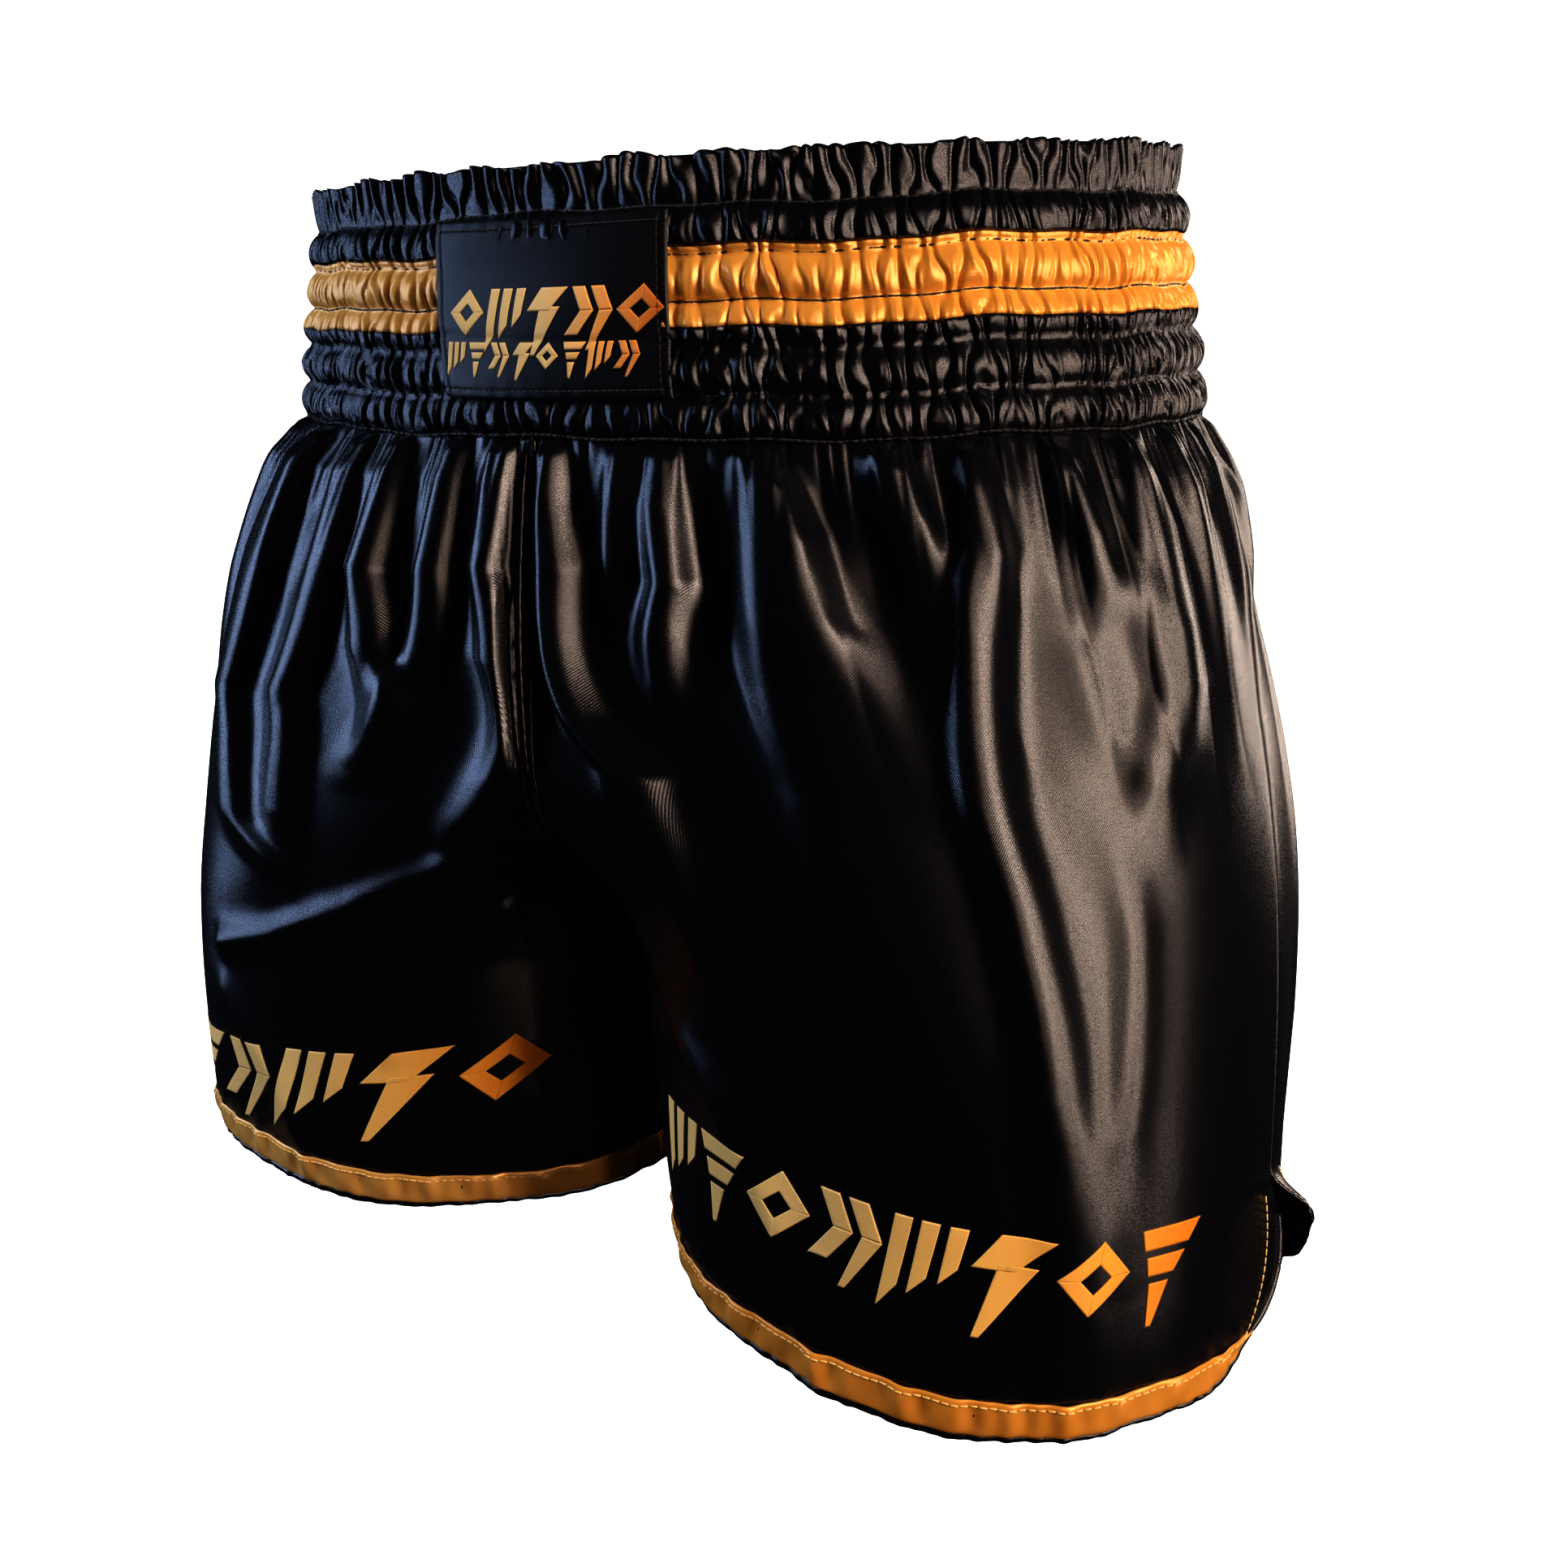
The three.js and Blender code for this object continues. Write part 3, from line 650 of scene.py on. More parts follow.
right_front_folds = [
    [(0, 91.2, 0.5, 94.6, 0.9, 4), (44, 91.5, 0.6, 95, 1.1, 9), (75, 87, 0.8, 91.4, 1.4, 9),
     (120, 75, 1.6, 79.5, 2.2, 7), (150, 63, 2.4, 69, 3, 4.5), (175, 55, 4, 61, 5, 0)],
    [(0, 98.2, 0.6, 101.4, 0.7, 3), (46, 98, 0.7, 101.6, 0.8, 7), (87, 95.6, 1.1, 99.4, 1.4, 5),
     (125, 93, 2, 98, 2, 0)],
    [(0, 106.5, 0.7, 110.4, 0.9, 3.5), (48, 106.2, 0.9, 110.6, 1.2, 9),
     (77, 101.6, 1.1, 107, 1.6, 8.5), (106, 92, 1.8, 99.5, 2.6, 6), (135, 88, 3, 95, 4, 0)],
    [(0, 114.5, 0.8, 118.5, 1, 2.5), (48, 112, 1.1, 117.6, 1.4, 8), (99, 112, 1.6, 118.4, 2.2, 8),
     (148, 98, 2.2, 106, 3.4, 5.5), (176, 90, 4, 99, 5, 0)],
    [(0, 124.8, 0.8, 130, 1.2, 3), (15, 125.4, 1.0, 132, 1.6, 7), (48, 124.6, 1.3, 133.5, 2.4, 9),
     (105, 125, 1.8, 134, 3, 9), (154, 109.4, 2.4, 120, 4.4, 6.5), (172, 93, 3.4, 106, 6, 3),
     (200, 86, 5, 100, 8, 0)],
    [(0, 141, 1.2, 147, 1.2, 2.5), (20, 141.6, 1.4, 148, 1.6, 5), (60, 140, 1.8, 147, 2.4, 5),
     (120, 139, 3, 147, 4, 3), (190, 138, 4, 148, 5, 0)],
]


def sown_folds(seed, start, stop):
    """Folds for the stretches that hang freely: uneven in spacing, length and lean."""
    dice = np.random.default_rng(seed)
    folds, at = [], start
    while at < stop:
        wide = dice.uniform(3.5, 9)
        long = dice.choice([60, 95, 150, 230]) * dice.uniform(0.8, 1.2)
        tall, lean, soft, edge = (dice.uniform(*span) for span in ((3.5, 8), (-5, 5), (1.2, 2.8), (1.2, 2.8)))
        upper, lower, foot = at + lean * 0.4, at + lean * 0.8, at + lean
        folds.append([(0, at, soft * 0.6, at + wide * 0.5, edge * 0.6, tall * 0.4),
                      (14, at, soft * 0.7, at + wide * 0.7, edge * 0.7, tall * 0.8),
                      (long * 0.4, upper, soft, upper + wide, edge, tall),
                      (long * 0.75, lower - wide * 0.1, soft * 1.5,
                       lower + wide * 1.1, edge * 1.5, tall * 0.7),
                      (long, foot - wide * 0.2, soft * 2, foot + wide * 1.2, edge * 2, 0)])
        at += wide + dice.uniform(3.5, 9)
    return folds


def hanging_fold(at, top, tall):
    """A long soft fold that falls from the seat to the hem."""
    return [(top, at, 2.6, at + 5, 3, 0), (top + 60, at - 1, 3, at + 6, 3.5, tall),
            (310, at - 3, 4, at + 8, 5, tall)]


left_seat_folds = [hanging_fold(*fold) for fold in (
    (206, 130, 3.6), (229, 160, 4.4), (252, 120, 3.2), (287, 150, 4.6))]
right_seat_folds = [hanging_fold(*fold) for fold in ((218, 140, 4.2), (243, 170, 3.4), (276, 130, 4.4))]
leg_folds = {1: left_front_folds + sown_folds(5, 188, 266) + left_seat_folds,
             -1: right_front_folds + sown_folds(9, 154, 266) + right_seat_folds}
# Creases that run slantwise: points as angle and depth, then how far out and how wide.
leg_creases = {
    1: [([(150, 50), (157, 46), (162, 60), (160, 90), (153, 102), (148, 86), (147, 66)], 0.8, 6),
        ([(60, 205), (74, 235), (84, 275), (88, 305)], 2.2, 9)],
    -1: [([(40, 152), (63, 156), (78, 182), (94, 200), (112, 212)], 3.6, 6.5),
         ([(46, 180), (60, 200), (68, 236)], 2.2, 8), ([(112, 235), (96, 262), (88, 290)], 2.2, 10)],
}


def crease_lift(angle, depth, points, reach, wide):
    """A ridge along a line of points, falling away to either side; a degree is about 2 mm round."""
    x, y = np.degrees(angle) * 2.0, depth
    nearest = np.full(np.broadcast(x, y).shape, 1e9)
    for (a0, d0), (a1, d1) in zip(points[:-1], points[1:]):
        ax, run, fall = a0 * 2.0, (a1 - a0) * 2.0, d1 - d0
        share = np.clip(((x - ax) * run + (y - d0) * fall) / (run ** 2 + fall ** 2), 0, 1)
        nearest = np.minimum(nearest, np.hypot(x - ax - share * run, y - d0 - share * fall))
    return reach * np.exp(-(nearest / wide) ** 2)


def gathers_below(turn, depth):
    """The waistband's gathers run on into the legs, and join two by two as they die out."""
    def fading(start, end):
        return np.clip(depth / start, 0, 1), np.clip(1 - depth / end, 0, 1)

    phase = gather_phase(turn, waist_seam)
    wander = patchy(turn, depth * 0.8, 31, (6, 30), 60)
    fine = 1.5 * np.clip(0.4 + depth / 8, 0, 1) * np.clip(1 - depth / 30, 0, 1) ** 1.3 * pleat(phase)
    begun, left = fading(16, 62)
    pairs = (1.5 * begun * left ** 1.4 * pleat(phase / 2 + 0.5 * wander)
             * (1 + 0.6 * patchy(turn, depth, 33, (5, 22), 90)))
    begun, left = fading(40, 130)
    broad = (1.2 * begun * left * (pleat(phase / 4 + 0.9 * wander) + 0.1)
             * (0.8 + 0.6 * patchy(turn, depth, 34, (4, 18), 90)))
    return fine + pairs + broad


def slit_edges(side, angle, share, depth):
    """The slit's edges stand out: the front's a little, the back's where it has folded over."""
    drawn_back = slit_spread * np.clip((share - slit_share) / (1 - slit_share), 0, 1)
    edge_away = np.clip(np.abs(angle - np.pi) * hem_half_width - drawn_back, 0, 60)
    below = depth - slit_share * leg_length
    flare = 5.5 * np.sin(np.pi * np.clip(below / 47, 0, 1)) ** 0.8 * np.exp(-(edge_away / 12) ** 2)
    curl = np.interp(below, [-2, 3, 8, 13, 20, 27, 33, 38], [0, 5, 12, 13, 11.5, 10.5, 8, 0])
    curl = curl * np.exp(-(edge_away / 8) ** 2)
    return np.where(angle > np.pi, (1.0 if side > 0 else 0.5) * curl, flare)


def fold_lift(side, angle, share):
    """How far the cloth stands off the hanging leg, in millimetres."""
    depth = share * leg_length
    lift = gathers_below(side * (angle - np.pi / 2), depth)
    degrees = np.degrees(angle)
    started = eased(np.clip((depth + 0.6) / 7, 0, 1))
    for levels in leg_folds[side]:
        near, near_soft, far, far_soft, tall = (along_fold(depth, levels, column) for column in range(1, 6))
        lift = lift + started * tall * (rise((degrees - near) / near_soft) - rise((degrees - far) / far_soft))
    for points, reach, wide in leg_creases[side]:
        lift = lift + crease_lift(angle, depth, points, reach, wide)
    lift = lift + 0.8 * np.sin(3 * angle + 2.2 * share * 3.1 + side) * np.clip(share * 2, 0, 1)
    lift = lift + 1.1 * np.clip((share - 0.55) / 0.45, 0, 1) * np.sin(7 * angle + 4 * side + 3 * share)
    lift = lift + slit_edges(side, angle, share, depth)
    hem_ripple = 0.22 * np.clip((share - 0.93) / 0.05, 0, 1) * np.sin(61 * angle + 3 * np.sin(9 * angle))
    # The folds die out at the gusset, and meet at the middle of the front and back.
    middle = np.abs(leg_base(side, angle, share)[..., 0])
    at_rise = eased(np.clip((middle - 1.5) / 4, 0, 1))
    at_gusset = np.clip((np.pi - np.abs(angle - np.pi)) / 0.35 - 0.2, 0, 1)
    return lift * np.where(share > gusset_front_share, at_gusset, at_rise) + hem_ripple


def leg_cloth(side, angle, share, out=0.0):
    """A point of the leg's cloth, folds and all."""
    step = 2e-3
    low = np.clip(share, step, 1 - step)
    round_it = leg_base(side, angle + step, share) - leg_base(side, angle - step, share)
    down = leg_base(side, angle, low + step) - leg_base(side, angle, low - step)
    normal = np.cross(down, round_it) * side
    normal /= np.maximum(np.linalg.norm(normal, axis=-1, keepdims=True), 1e-9)
    lift = fold_lift(side, angle, share) + out
    return leg_base(side, angle, share) + normal * lift[..., None]


def quarter_angle(back, angle):
    """The back panels run round the other way from the same inseam."""
    return 2 * np.pi - angle if back else angle


quarters = [(back, side) for back in (False, True) for side in (1, -1)]
quarter_name = {(back, side): f"{'back' if back else 'front'}_{'left' if side > 0 else 'right'}"
                for back, side in quarters}


def below_slit_head(down, across):
    """Shares of the leg's length that follow the hem's rounded corner below the slit's head."""
    rounded = slit_share + (down - slit_share) * (hem_share(across) - slit_share) / (1 - slit_share)
    return np.where(down > slit_share, rounded, down)


def across_panel(back, share, across):
    """The angle at a share of the way from a panel's inner edge to its outer one."""
    return quarter_angle(back, inner_edge(share) + (outer_edge(share) - inner_edge(share)) * across)


def allowance(side, angle, share, closed, toward):
    """Two columns carrying the front's seam allowance behind the back's edge, where the seam is closed."""
    held = closed[:, None] * 1.0
    reach = np.array([[0.02, 0.04]]) + held * np.array([[0.6, 3.0]])
    at = angle[:, None] + toward * reach / leg_ring(share)[1][:, None]
    return leg_cloth(side, at, share[:, None] + 0 * reach, 0.5 - held * np.array([[0.85, 1.15]]))


panel_rows, panel_columns, groove_width = 150, 288, 1.6
tucks = ((6, 1.6), (3, 1.3), (1, 0.6))
for back, side in quarters:
    name = quarter_name[back, side]
    down, across = np.meshgrid(np.linspace(0, 1, panel_rows) ** 1.25, np.linspace(0, 1, panel_columns),
                               indexing="ij")
    share = np.maximum(below_slit_head(down, across), 0.3 / leg_length)
    angle = across_panel(back, share, across)
    round_leg = leg_ring(share)[1]
    inseam_closed, side_closed = share > gusset_leg_share, share < slit_share - 0.01
    inseam_near = np.where(inseam_closed, quarter_angle(back, angle) * round_leg, 99)
    side_near = np.where(side_closed, (np.pi - quarter_angle(back, angle)) * round_leg, 99)
    groove = np.exp(-(inseam_near / groove_width) ** 2) + np.exp(-(side_near / groove_width) ** 2)
    face = leg_cloth(side, angle, share, 0.5 - 0.55 * groove)
    # The gathered top edge runs 6 mm up inside the casing.
    tucked = [leg_cloth(side, angle[:1], share[:1] - up / leg_length, 0.5 - inward) for up, inward in tucks]
    face = np.concatenate(tucked + [face], 0)
    share = np.concatenate([share[:1] - up / leg_length for up, _ in tucks] + [share], 0)
    angle = np.concatenate([angle[:1]] * len(tucks) + [angle], 0)
    width = np.abs(angle - quarter_angle(back, 0)) * hem_half_width
    flat = np.stack([width * 1.02, -share * leg_length], -1)
    if not back:
        first, last = share[:, 0], share[:, -1]
        inseam = allowance(side, angle[:, 0], first, first > gusset_leg_share + 0.004, -1)[:, ::-1]
        side_seam = allowance(side, angle[:, -1], last, last < slit_share - 0.01, 1)
        face = np.concatenate([inseam, face, side_seam], 1)
        inner, outer = flat[:, :1], flat[:, -1:]
        flat = np.concatenate([inner - [3, 0], inner - [0.6, 0], flat, outer + [0.6, 0], outer + [3, 0]], 1)
    panel_out = -side if back else side
    panel = sewn_piece(f"{name}_leg_satin", face, leg_satin, flat, black_satin, outward=panel_out)
    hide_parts(f"{name}_panel")
    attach(panel, "root")

# ---- Gusset -------------------------------------------------------------------------------
# A diamond of the same satin let into the crotch. It is a saddle: it runs a little up each rise
# and down each inseam, and is sewn to all four panels.
gusset_turn = np.linspace(-0.98, 0.98, 60) * gusset_angle
gusset_drop = np.linspace(-1, 1, 90)
turn_grid, drop_grid = np.meshgrid(gusset_turn, gusset_drop, indexing="ij")
turned = np.abs(turn_grid)
gusset_start = crotch_share * np.cos(turned) ** (1 / rise_sharpness)
gusset_seam = gusset_leg_share + (gusset_front_share - gusset_leg_share) * turned / gusset_angle
gusset_share = gusset_start + (gusset_seam - gusset_start) * np.abs(drop_grid)
gusset_at = np.where(turn_grid < 0, 2 * np.pi - turned, turned)
gusset_face = np.where((drop_grid >= 0)[..., None], leg_base(1, gusset_at, gusset_share),
                       leg_base(-1, gusset_at, gusset_share))
pucker = 0.5 * np.sin(9 * turn_grid + 5 * drop_grid) * (1 - drop_grid ** 2)
gusset_face = gusset_face + face_normals(gusset_face, -1, False) * (0.35 + pucker)[..., None]
gusset_flat = np.stack([drop_grid * 62, turn_grid * 90], -1)
gusset = sewn_piece("crotch_gusset_satin", gusset_face, leg_satin, gusset_flat, black_satin, outward=-1)
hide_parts("crotch_gusset")
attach(gusset, "root")
trims = {quarter: [] for quarter in quarters}

# ---- Rise tapes ---------------------------------------------------------------------------
# A folded strip of satin over the seam of the front rise, and another at the back. Two rows of
# stitching hold each down, one along either edge.
tape_half = 3.2
for back in (False, True):
    place = "back" if back else "front"
    down = np.linspace(0.3 / leg_length, gusset_front_share * 1.014, 170)
    across = np.linspace(-tape_half, tape_half, 15)
    share, x = np.meshgrid(down, across, indexing="ij")
    at = quarter_angle(back, rise_angle(share, np.maximum(np.abs(x), 0.05)))
    tape_face = np.where((x >= 0)[..., None], leg_cloth(1, at, share, 0.5), leg_cloth(-1, at, share, 0.5))
    tape_out = -1 if back else 1
    crown = 1.1 - 0.55 * np.abs(x / tape_half) ** 6 + 0.18 * np.sin(share * 260 + x) * np.cos(share * 97)
    tape_face = tape_face + face_normals(tape_face, tape_out, False) * crown[..., None]
    tape_flat = np.stack([x, -share * leg_length], -1)
    tape = sewn_piece(f"{place}_rise_tape_satin", tape_face, leg_satin, tape_flat, black_satin,
                      outward=tape_out)
    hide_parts(f"{place}_rise_tape")
    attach(tape, "root")
    trims[back, 1].append(tape)
    thread_face = tape_face + face_normals(tape_face, tape_out, False) * 0.12
    rows_of_thread = [thread_face[:, 2], thread_face[:, 12]]
    stitched(f"{place}_rise_stitches", rows_of_thread, 2.6, 1.9, 0.2, black_thread)

# ---- Hem bands ----------------------------------------------------------------------------
# A strip of gold satin laid on each hem, with a line of gold topstitch near its upper edge.
# It runs out where the hem rounds up to the slit.
hem_band_height = 12.4
band_top = 1 - hem_band_height / leg_length
band_end = 1 - (corner_width / (np.pi * hem_half_width)) * (
    1 - math.sqrt(1 - (1 - hem_band_height * 0.93 / corner_rise) ** 2))
for back, side in quarters:
    name = quarter_name[back, side]
    down, across = np.meshgrid(np.linspace(0, 1, 14), np.linspace(0, band_end, 420), indexing="ij")
    share = band_top + (hem_share(across) - band_top) * down
    angle = across_panel(back, share, across)
    arc = angle * hem_half_width
    small = 0.30 * np.sin(arc / 1.5 + 2 * np.sin(arc / 19))
    large = 0.70 * np.sin(arc / 2.9 + 1.7 * np.sin(arc / 31) + 1.2 * down)
    pucker = (small + large) * np.sin(np.pi * np.clip(down * 0.9 + 0.1, 0, 1))
    edge_roll = 0.35 * np.abs(2 * down - 1) ** 8
    band_face = leg_cloth(side, angle, share, 1.45 + pucker - edge_roll)
    band_flat = np.stack([arc, -share * leg_length], -1)
    band_out = -side if back else side
    band = sewn_piece(f"{name}_hem_gold", band_face, casing_cloth, band_flat, gold_satin, outward=band_out)
    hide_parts(f"{name}_hem_band")
    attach(band, "root")
    sewn_row = band_face[2] + face_normals(band_face, band_out, False)[3] * 0.14
    stitched(f"{name}_hem_stitches", [sewn_row], 3.0, 2.4, 0.24, gold_thread)

# ---- Edge bindings ------------------------------------------------------------------------
# Black satin bias binding folded over the raw edge of each quarter: along the hem, round the
# corner and up the slit. It is a narrow round bead, slightly uneven where it was fed by hand.
bead_steps = np.linspace(0, 2 * np.pi, 9)[:-1]
for back, side in quarters:
    name = quarter_name[back, side]
    across = np.concatenate([np.linspace(0, 1, 420) ** 0.8, np.ones(70)])
    down = np.concatenate([np.ones(420), np.linspace(1, 1 - (1 - slit_share) * 0.64, 71)[1:]])
    share = below_slit_head(down, across)
    angle = across_panel(back, share, across)
    spine = leg_cloth(side, angle, share, 0.2)
    proud = leg_cloth(side, angle, share, 1.2) - spine
    proud /= np.linalg.norm(proud, axis=-1, keepdims=True)
    along = np.gradient(spine, axis=0)
    along /= np.maximum(np.linalg.norm(along, axis=-1, keepdims=True), 1e-9)
    away = np.cross(along, proud) * side * (-1 if back else 1)
    steps = np.linspace(0, 1, len(spine))
    fat = 1 + 0.10 * np.sin(steps * 190 + 4 * np.sin(steps * 31)) + 0.05 * np.sin(steps * 470)
    fat[0] = fat[-1] = 0.2
    fat = fat[:, None, None]
    bead = ((spine + away * 0.8)[:, None] + away[:, None] * (np.cos(bead_steps)[None, :, None] * 1.55 * fat)
            + proud[:, None] * ((np.sin(bead_steps) * 1.25)[None, :, None] * fat + 0.25))
    count, spokes = bead.shape[:2]
    i, j = (g.ravel() for g in np.meshgrid(np.arange(count - 1), np.arange(spokes), indexing="ij"))
    k = (j + 1) % spokes
    quads = np.stack([i * spokes + j, (i + 1) * spokes + j, (i + 1) * spokes + k, i * spokes + k], -1)
    last = (count - 1) * spokes
    caps = np.array([[3, 2, 1, 0], [7, 4, 3, 0], [7, 6, 5, 4]])
    quads = np.concatenate([quads, caps, (caps + last)[:, ::-1]])
    reach = np.concatenate([[0], np.cumsum(np.linalg.norm(np.diff(spine, axis=0), axis=-1))])
    flat = np.stack([np.repeat(reach, spokes), np.tile(bead_steps * 1.4, count)], -1)
    a, b, c = (bead.reshape(-1, 3)[quads[:, n]] for n in (0, 1, 2))
    middles = (spine + away * 0.8)[np.minimum(quads[:, 0] // spokes, count - 1)]
    outward_sum = np.einsum("ij,ij->i", np.cross(b - a, c - a), a - middles).sum()
    if outward_sum < 0:
        quads = quads[:, ::-1]
    binding = plain_piece(f"{name}_binding_satin", bead.reshape(-1, 3), quads, flat[quads], black_satin)
    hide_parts(f"{name}_edge_binding")
    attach(binding, "root")
    trims[back, side].append(binding)

# ---- Slit facings -------------------------------------------------------------------------
# The slit's edge is turned in 9 mm, with the same satin lying inside the leg, and held by a line of
# gold thread that shows on the outside.
facing_width = 9.0
for back, side in quarters:
    name = quarter_name[back, side]
    down, inset = np.meshgrid(np.linspace(0, 1, 60), np.linspace(0, 1, 14), indexing="ij")
    share = slit_share + 0.3 / leg_length + down * (1 - corner_rise / leg_length - slit_share)
    angle = quarter_angle(back, outer_edge(share) - inset * facing_width / leg_ring(share)[1])
    facing_face = leg_cloth(side, angle, share, -0.35 + 0.12 * np.sin(down * 22 + inset * 3))
    facing_flat = np.stack([-inset * facing_width, -share * leg_length], -1)
    turned_in = sewn_piece(f"{name}_slit_facing_satin", facing_face, casing_cloth, facing_flat, black_satin,
                           outward=side if back else -side)
    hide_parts(f"{name}_slit_facing")
    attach(turned_in, "root")
    share = np.linspace(slit_share + 1 / leg_length, band_top, 120)
    angle = quarter_angle(back, outer_edge(share) - facing_width / leg_ring(share)[1])
    stitched(f"{name}_slit_stitches", [leg_cloth(side, angle, share, 0.76)], 2.7, 2.2, 0.28,
             gold_thread)

# ---- Front patch --------------------------------------------------------------------------
# A black satin label with turned edges, sewn over the front of the waistband by a black topstitch.
# It lies almost flat over the rows and dips where its upper and lower edges are sewn down.
patch_wide, patch_tall, patch_middle, patch_top = 94.0, 54.0, 9.0, 25.5


def patch_place(u, v, out):
    """u and v run from -1 to 1 over the patch, from the wearer's right and from its top."""
    left, right = patch_middle - patch_wide / 2, patch_middle + patch_wide / 2
    left, right = left + 1.6 * (v + 1), right - 0.8 * (v + 1)
    along = left + (right - left) * (u + 1) / 2
    height = patch_top - (v + 1) / 2 * patch_tall + 0.5 * u * u
    lie = 5.0 - 1.9 * np.abs(v) ** 5 - 0.5 * np.abs(u) ** 8
    lie = lie + 0.45 * np.cos(v * 5.2 + 0.6 * u) * (1 - v ** 2) + 0.30 * np.sin(3.1 * u + 2.2 * v + 0.6)
    lie = lie - 0.45 * np.exp(-((v - 0.33 - 0.06 * u) / 0.05) ** 2)
    lie = lie + 0.10 * np.sin(38 * u + 3 * v) * np.abs(v) ** 6
    return waist_place(np.arcsin(along / seam_half_width), height, lie + out)


patch_satin = satin("patch_satin", (0.003, 0.003, 0.0035), (0.007, 0.007, 0.008), 0.40, 0.6, weave=0.6)
patch_cloth, row_u, row_v = 0.8, 0.93, 0.89
v, u = (np.sin(np.linspace(-1, 1, steps) * np.pi / 2) for steps in (110, 170))
v, u = np.meshgrid(v, u, indexing="ij")
roll_u = np.clip((np.abs(u) - 0.975) / 0.025, 0, 1)
roll_v = np.clip((np.abs(v) - 0.96) / 0.04, 0, 1)
edge_turn = np.maximum(1 - np.sqrt(1 - roll_u ** 2), 1 - np.sqrt(1 - roll_v ** 2))
stitch_dip = 0.22 * (np.exp(-((np.abs(u) - row_u) / 0.012) ** 2) + np.exp(-((np.abs(v) - row_v) / 0.02) ** 2))
patch_face = patch_place(u, v, -0.7 * edge_turn - stitch_dip)
patch_flat = np.stack([u * patch_wide / 2, -v * patch_tall / 2], -1)
patch = sewn_piece("front_patch_satin", patch_face, patch_cloth, patch_flat, patch_satin)
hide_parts("front_patch")
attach(patch, "root")
lap = np.linspace(-1, 1, 160)
patch_rows = ([patch_place(lap * row_u, 0 * lap + end * row_v, 0.05) for end in (-1, 1)]
              + [patch_place(0 * lap + end * row_u, lap * row_v, 0.05) for end in (-1, 1)])
stitched("front_patch_stitches", patch_rows, 2.4, 1.8, 0.2, black_thread)

# ---- Printed bands ------------------------------------------------------------------------
# Gold figures printed on the patch and round both legs above the hem: bolts, chevrons, open lozenges
# and slanted bars, shaded from pale gold to deep orange. The print is a thin film on the cloth.
print_slant, ink_top, ink_foot = 0.22, 0.16, 0.02
figures = {
    "bolt": [((0.30, 1), (1.0, 1), (0.58, 0.52), (0.0, 0.52)),
             ((0.34, 0.60), (0.86, 0.60), (0.30, -0.42), (0.20, -0.42))],
    "chevrons": [((0, 1), (0.30, 1), (0.58, 0.5), (0.28, 0.5)),
                 ((0.28, 0.5), (0.58, 0.5), (0.26, 0), (-0.04, 0)),
                 ((0.44, 1), (0.74, 1), (1.02, 0.5), (0.72, 0.5)),
                 ((0.72, 0.5), (1.02, 0.5), (0.60, -0.32), (0.50, -0.32))],
    "lozenge": [((-0.02, 0.5), (0.5, 1), (0.5, 0.70), (0.28, 0.5)),
                ((0.5, 1), (1.02, 0.5), (0.72, 0.5), (0.5, 0.70)),
                ((1.02, 0.5), (0.5, 0), (0.5, 0.30), (0.72, 0.5)),
                ((0.5, 0), (-0.02, 0.5), (0.28, 0.5), (0.5, 0.30))],
    "bars": [((0.0, 1), (0.25, 1), (0.21, 0.02), (-0.02, -0.36)),
             ((0.37, 1), (0.62, 1), (0.58, 0.22), (0.36, -0.06)),
             ((0.75, 1), (1.0, 1), (0.96, 0.44), (0.74, 0.18))],
    "wedge": [((0.0, 1), (1.0, 1), (0.84, 0.72), (0.10, 0.72)),
              ((0.16, 0.62), (0.80, 0.62), (0.66, 0.36), (0.24, 0.36)),
              ((0.28, 0.26), (0.60, 0.26), (0.46, -0.34), (0.38, -0.34))],
}


def printed_finish(name, stops):
    """Printed satin: the ink takes the gloss of the twill below it and runs through its shades in a line."""
    finish = satin(name, (0.5, 0.3, 0.1), (0.6, 0.4, 0.15), 0.5, 0.5)
    tree = finish.node_tree
    laid = add_node(tree, "ShaderNodeUVMap", {}, uv_map="cloth")
    split = add_node(tree, "ShaderNodeSeparateXYZ", {"Vector": laid.outputs["UV"]})
    span = add_node(tree, "ShaderNodeMapRange", {"Value": split.outputs["X"], "From Max": 1000})
    shade = add_node(tree, "ShaderNodeValToRGB", {"Fac": span.outputs["Result"]})
    ramp = shade.color_ramp.elements
    ramp[0].position, ramp[0].color = stops[0][0], (*stops[0][1], 1)
    ramp[1].position, ramp[1].color = stops[-1][0], (*stops[-1][1], 1)
    for position, colour in stops[1:-1]:
        ramp.new(position).color = (*colour, 1)
    twill = next(node for node in tree.nodes if node.bl_idname == "ShaderNodeTexWave")
    tone = add_node(tree, "ShaderNodeMapRange", {
        "Value": twill.outputs["Fac"], "To Min": 0.72, "To Max": 1.12})
    weave = add_node(tree, "ShaderNodeMix", {
        "Factor": 1, "A": shade.outputs["Color"], "B": tone.outputs["Result"]},
        data_type="RGBA", blend_type="MULTIPLY")
    feed(tree, tree.nodes["Principled BSDF"], {
        "Base Color": weave.outputs["Result"], "Sheen Weight": 0.05, "Sheen Roughness": 0.35,
        "Sheen Tint": (1, 0.9, 0.7, 1)})
    return finish


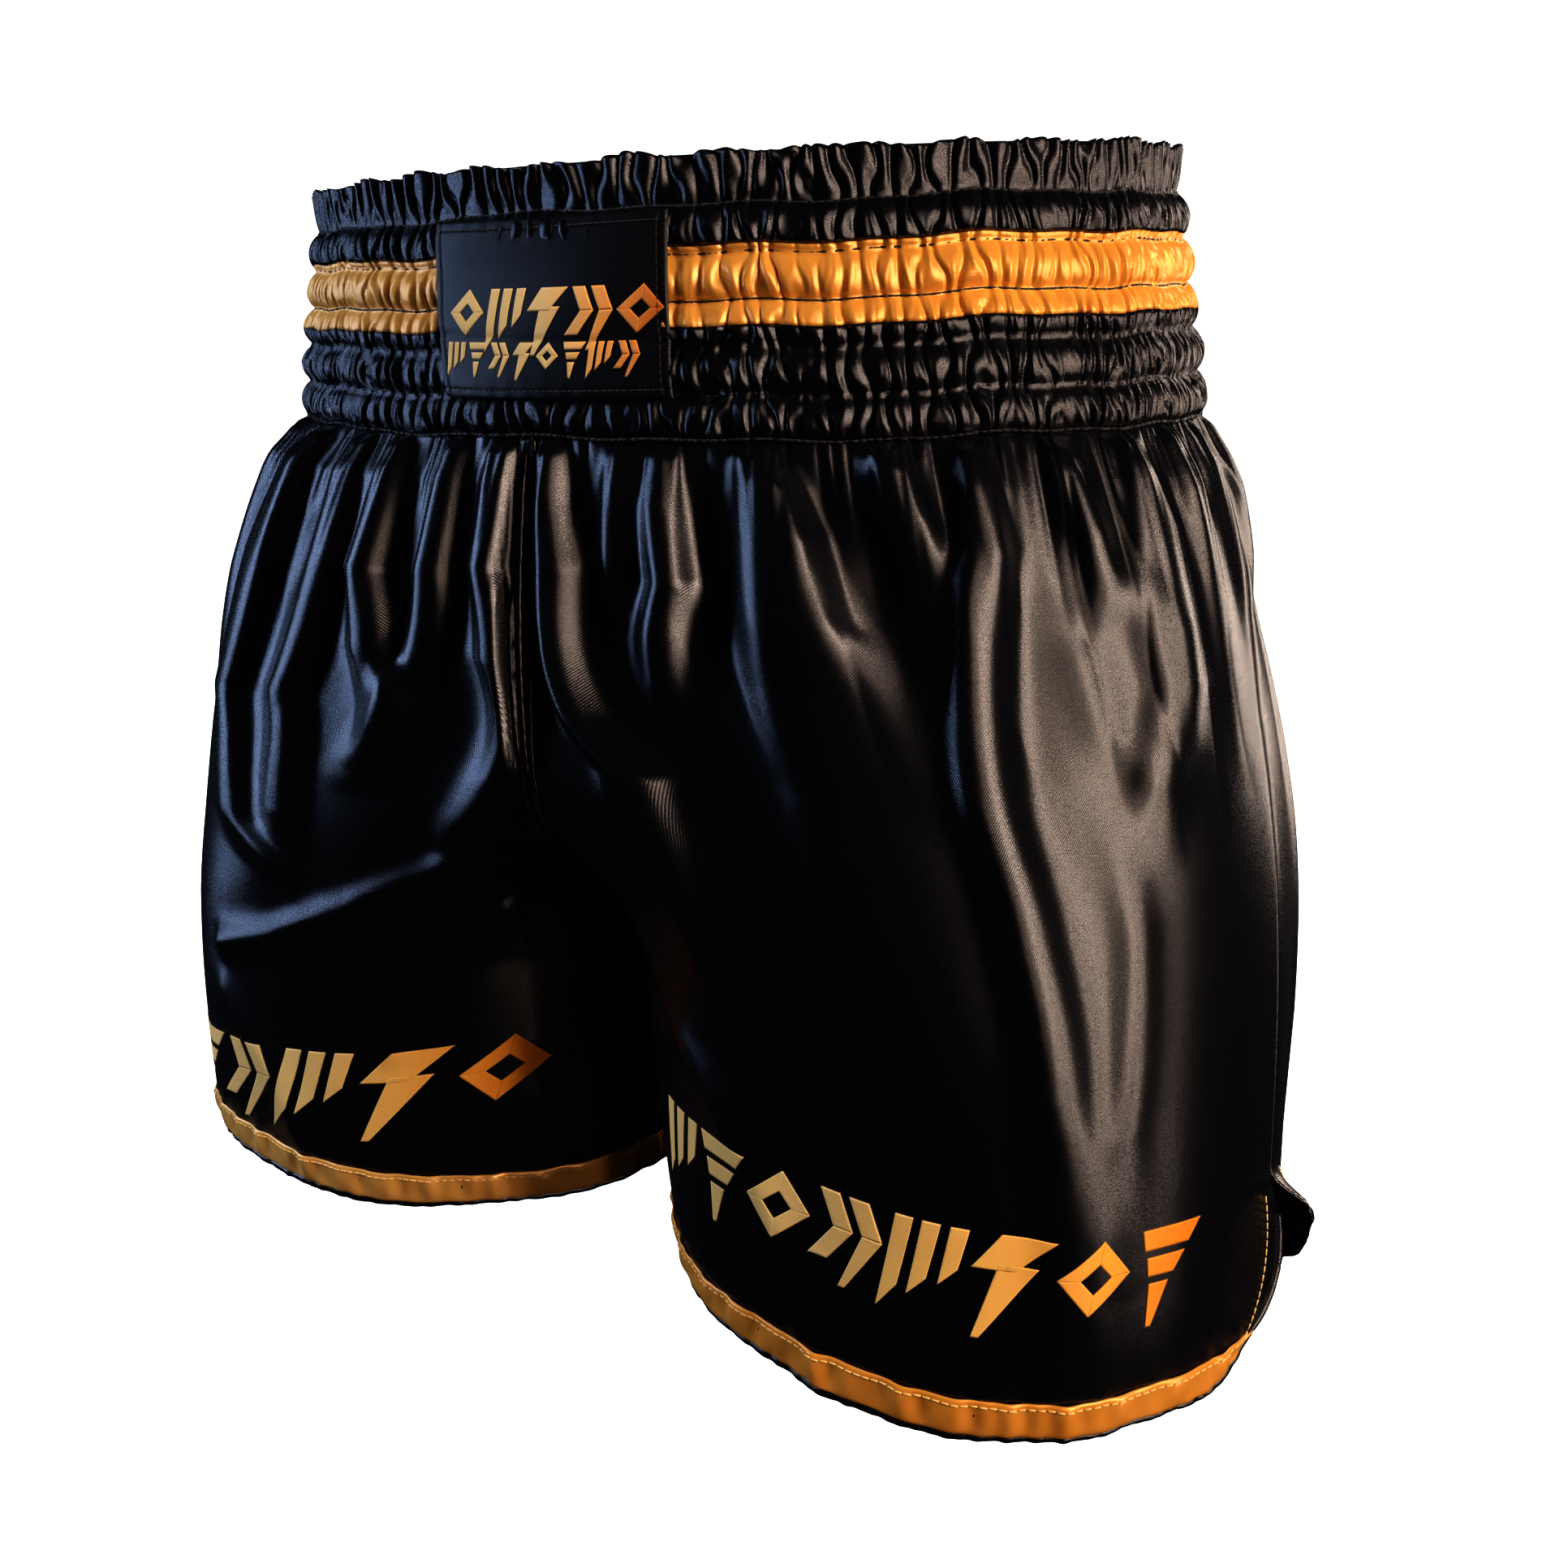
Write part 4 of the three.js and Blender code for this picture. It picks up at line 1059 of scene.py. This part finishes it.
def printed(name, cells, place, finish, outward):
    """Lays a row of figures: each cell is a figure, its left end, width, foot and height in millimetres."""
    films, squares, shades, first = [], [], [], 0
    length = max(left + wide for _, left, wide, _, _ in cells)

    def steps(one, other, most, least):
        """How many squares about 0.8 mm long fit along the longer of two sides."""
        return int(np.clip(max(np.linalg.norm(one), np.linalg.norm(other)) / 0.8, least, most))

    for figure, left, wide, foot, tall in cells:
        for outline in figures[figure]:
            corners = np.array(outline, float)
            corners[:, 0] += print_slant * corners[:, 1]
            size = corners * (wide, tall)
            long_way = steps(size[0] - size[3], size[1] - size[2], 40, 3)
            short_way = steps(size[0] - size[1], size[3] - size[2], 30, 2)
            p, q = (np.linspace(0, 1, count + 1) for count in (long_way, short_way))
            p, q = (grid[..., None] for grid in np.meshgrid(p, q, indexing="ij"))
            spot = (corners[0] * ((1 - p) * (1 - q)) + corners[1] * ((1 - p) * q)
                    + corners[2] * (p * q) + corners[3] * (p * (1 - q)))
            x, y = left + spot[..., 0] * wide, foot + spot[..., 1] * tall
            face = place(x, y)
            lift = face_normals(face, outward, False)
            film = np.concatenate([(face + lift * off).reshape(-1, 3) for off in (ink_top, ink_foot)])
            rows, columns = face.shape[:2]
            here = (np.arange(rows - 1)[:, None] * columns + np.arange(columns - 1)).ravel()
            quad = np.stack([here, here + columns, here + columns + 1, here + 1], -1)
            right_end, last_row = columns - 1, (rows - 1) * columns
            ring = np.concatenate([np.arange(columns), np.arange(1, rows) * columns + right_end,
                                   last_row + np.arange(columns - 2, -1, -1),
                                   np.arange(rows - 2, 0, -1) * columns])
            after = np.roll(ring, -1)
            side_wall = np.stack([ring, after, after + rows * columns, ring + rows * columns], -1)
            if outward < 0:
                quad, side_wall = quad[:, ::-1], side_wall[:, ::-1]
            all_quads = np.concatenate([quad, quad[:, ::-1] + rows * columns, side_wall])
            tint = np.stack([x / length * 1000, y], -1).reshape(-1, 2)
            shades.append(np.concatenate([tint, tint])[all_quads])
            squares.append(all_quads + first)
            films.append(film)
            first += len(film)
    piece = plain_piece(name, np.concatenate(films), np.concatenate(squares), np.concatenate(shades), finish)
    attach(piece, "root")
    return piece


pale, rich, deep = (0.70, 0.50, 0.21), (0.78, 0.36, 0.08), (0.48, 0.135, 0.012)
patch_ink = printed_finish("patch_ink", [(0.0, pale), (0.5, rich), (1.0, deep)])
upper_cells = [("lozenge", -42, 15, -7.5, 14), ("bars", -24.5, 15, -7.5, 14), ("bolt", -7.5, 15, -7.5, 14),
               ("chevrons", 9, 16, -7.5, 14), ("lozenge", 27, 15.5, -7.5, 14)]
lower_row = ("bars", "wedge", "chevrons", "bolt", "lozenge", "wedge", "bars", "chevrons")
lower_cells = [(figure, -44.6 + n * 10.1, 8.4, -17.5, 8) for n, figure in enumerate(lower_row)]


def patch_print_place(x, y):
    return patch_place((x + 1.5) / (patch_wide / 2), -y / (patch_tall / 2), 0.02)


printed("front_patch_print", upper_cells + lower_cells, patch_print_place, patch_ink, 1)

leg_ink = printed_finish("leg_ink", [(0.0, pale), (0.45, (0.80, 0.46, 0.13)), (0.75, (0.80, 0.33, 0.05)),
                                     (1.0, (0.62, 0.19, 0.015))])
left_row = ("bars", "wedge", "lozenge", "chevrons", "bars", "bolt", "lozenge", "wedge")
right_row = ("wedge", "chevrons", "bars", "bolt", "lozenge")
left_cells = [(figure, -82.5 + n * 26.2, 23.5, 0.0, 25.0) for n, figure in enumerate(left_row)]
right_cells = [(figure, -97 + n * 41.0, 35.0, 0.0, 27.0) for n, figure in enumerate(right_row)]
print_middle, print_degree, leg_ink_lift = 88, 1.98, 0.55


def left_leg_print(x, y):
    angle = np.radians(print_middle + x / print_degree)
    return leg_cloth(1, angle, (259.5 + x * 0.03 - y) / leg_length, leg_ink_lift)


def right_leg_print(x, y):
    angle = np.radians(print_middle - x / print_degree)
    return leg_cloth(-1, angle, (np.minimum(274.5 - x * 0.17, 287) - y) / leg_length, leg_ink_lift)


printed("left_leg_print", left_cells, left_leg_print, leg_ink, 1)
printed("right_leg_print", right_cells, right_leg_print, leg_ink, 1)
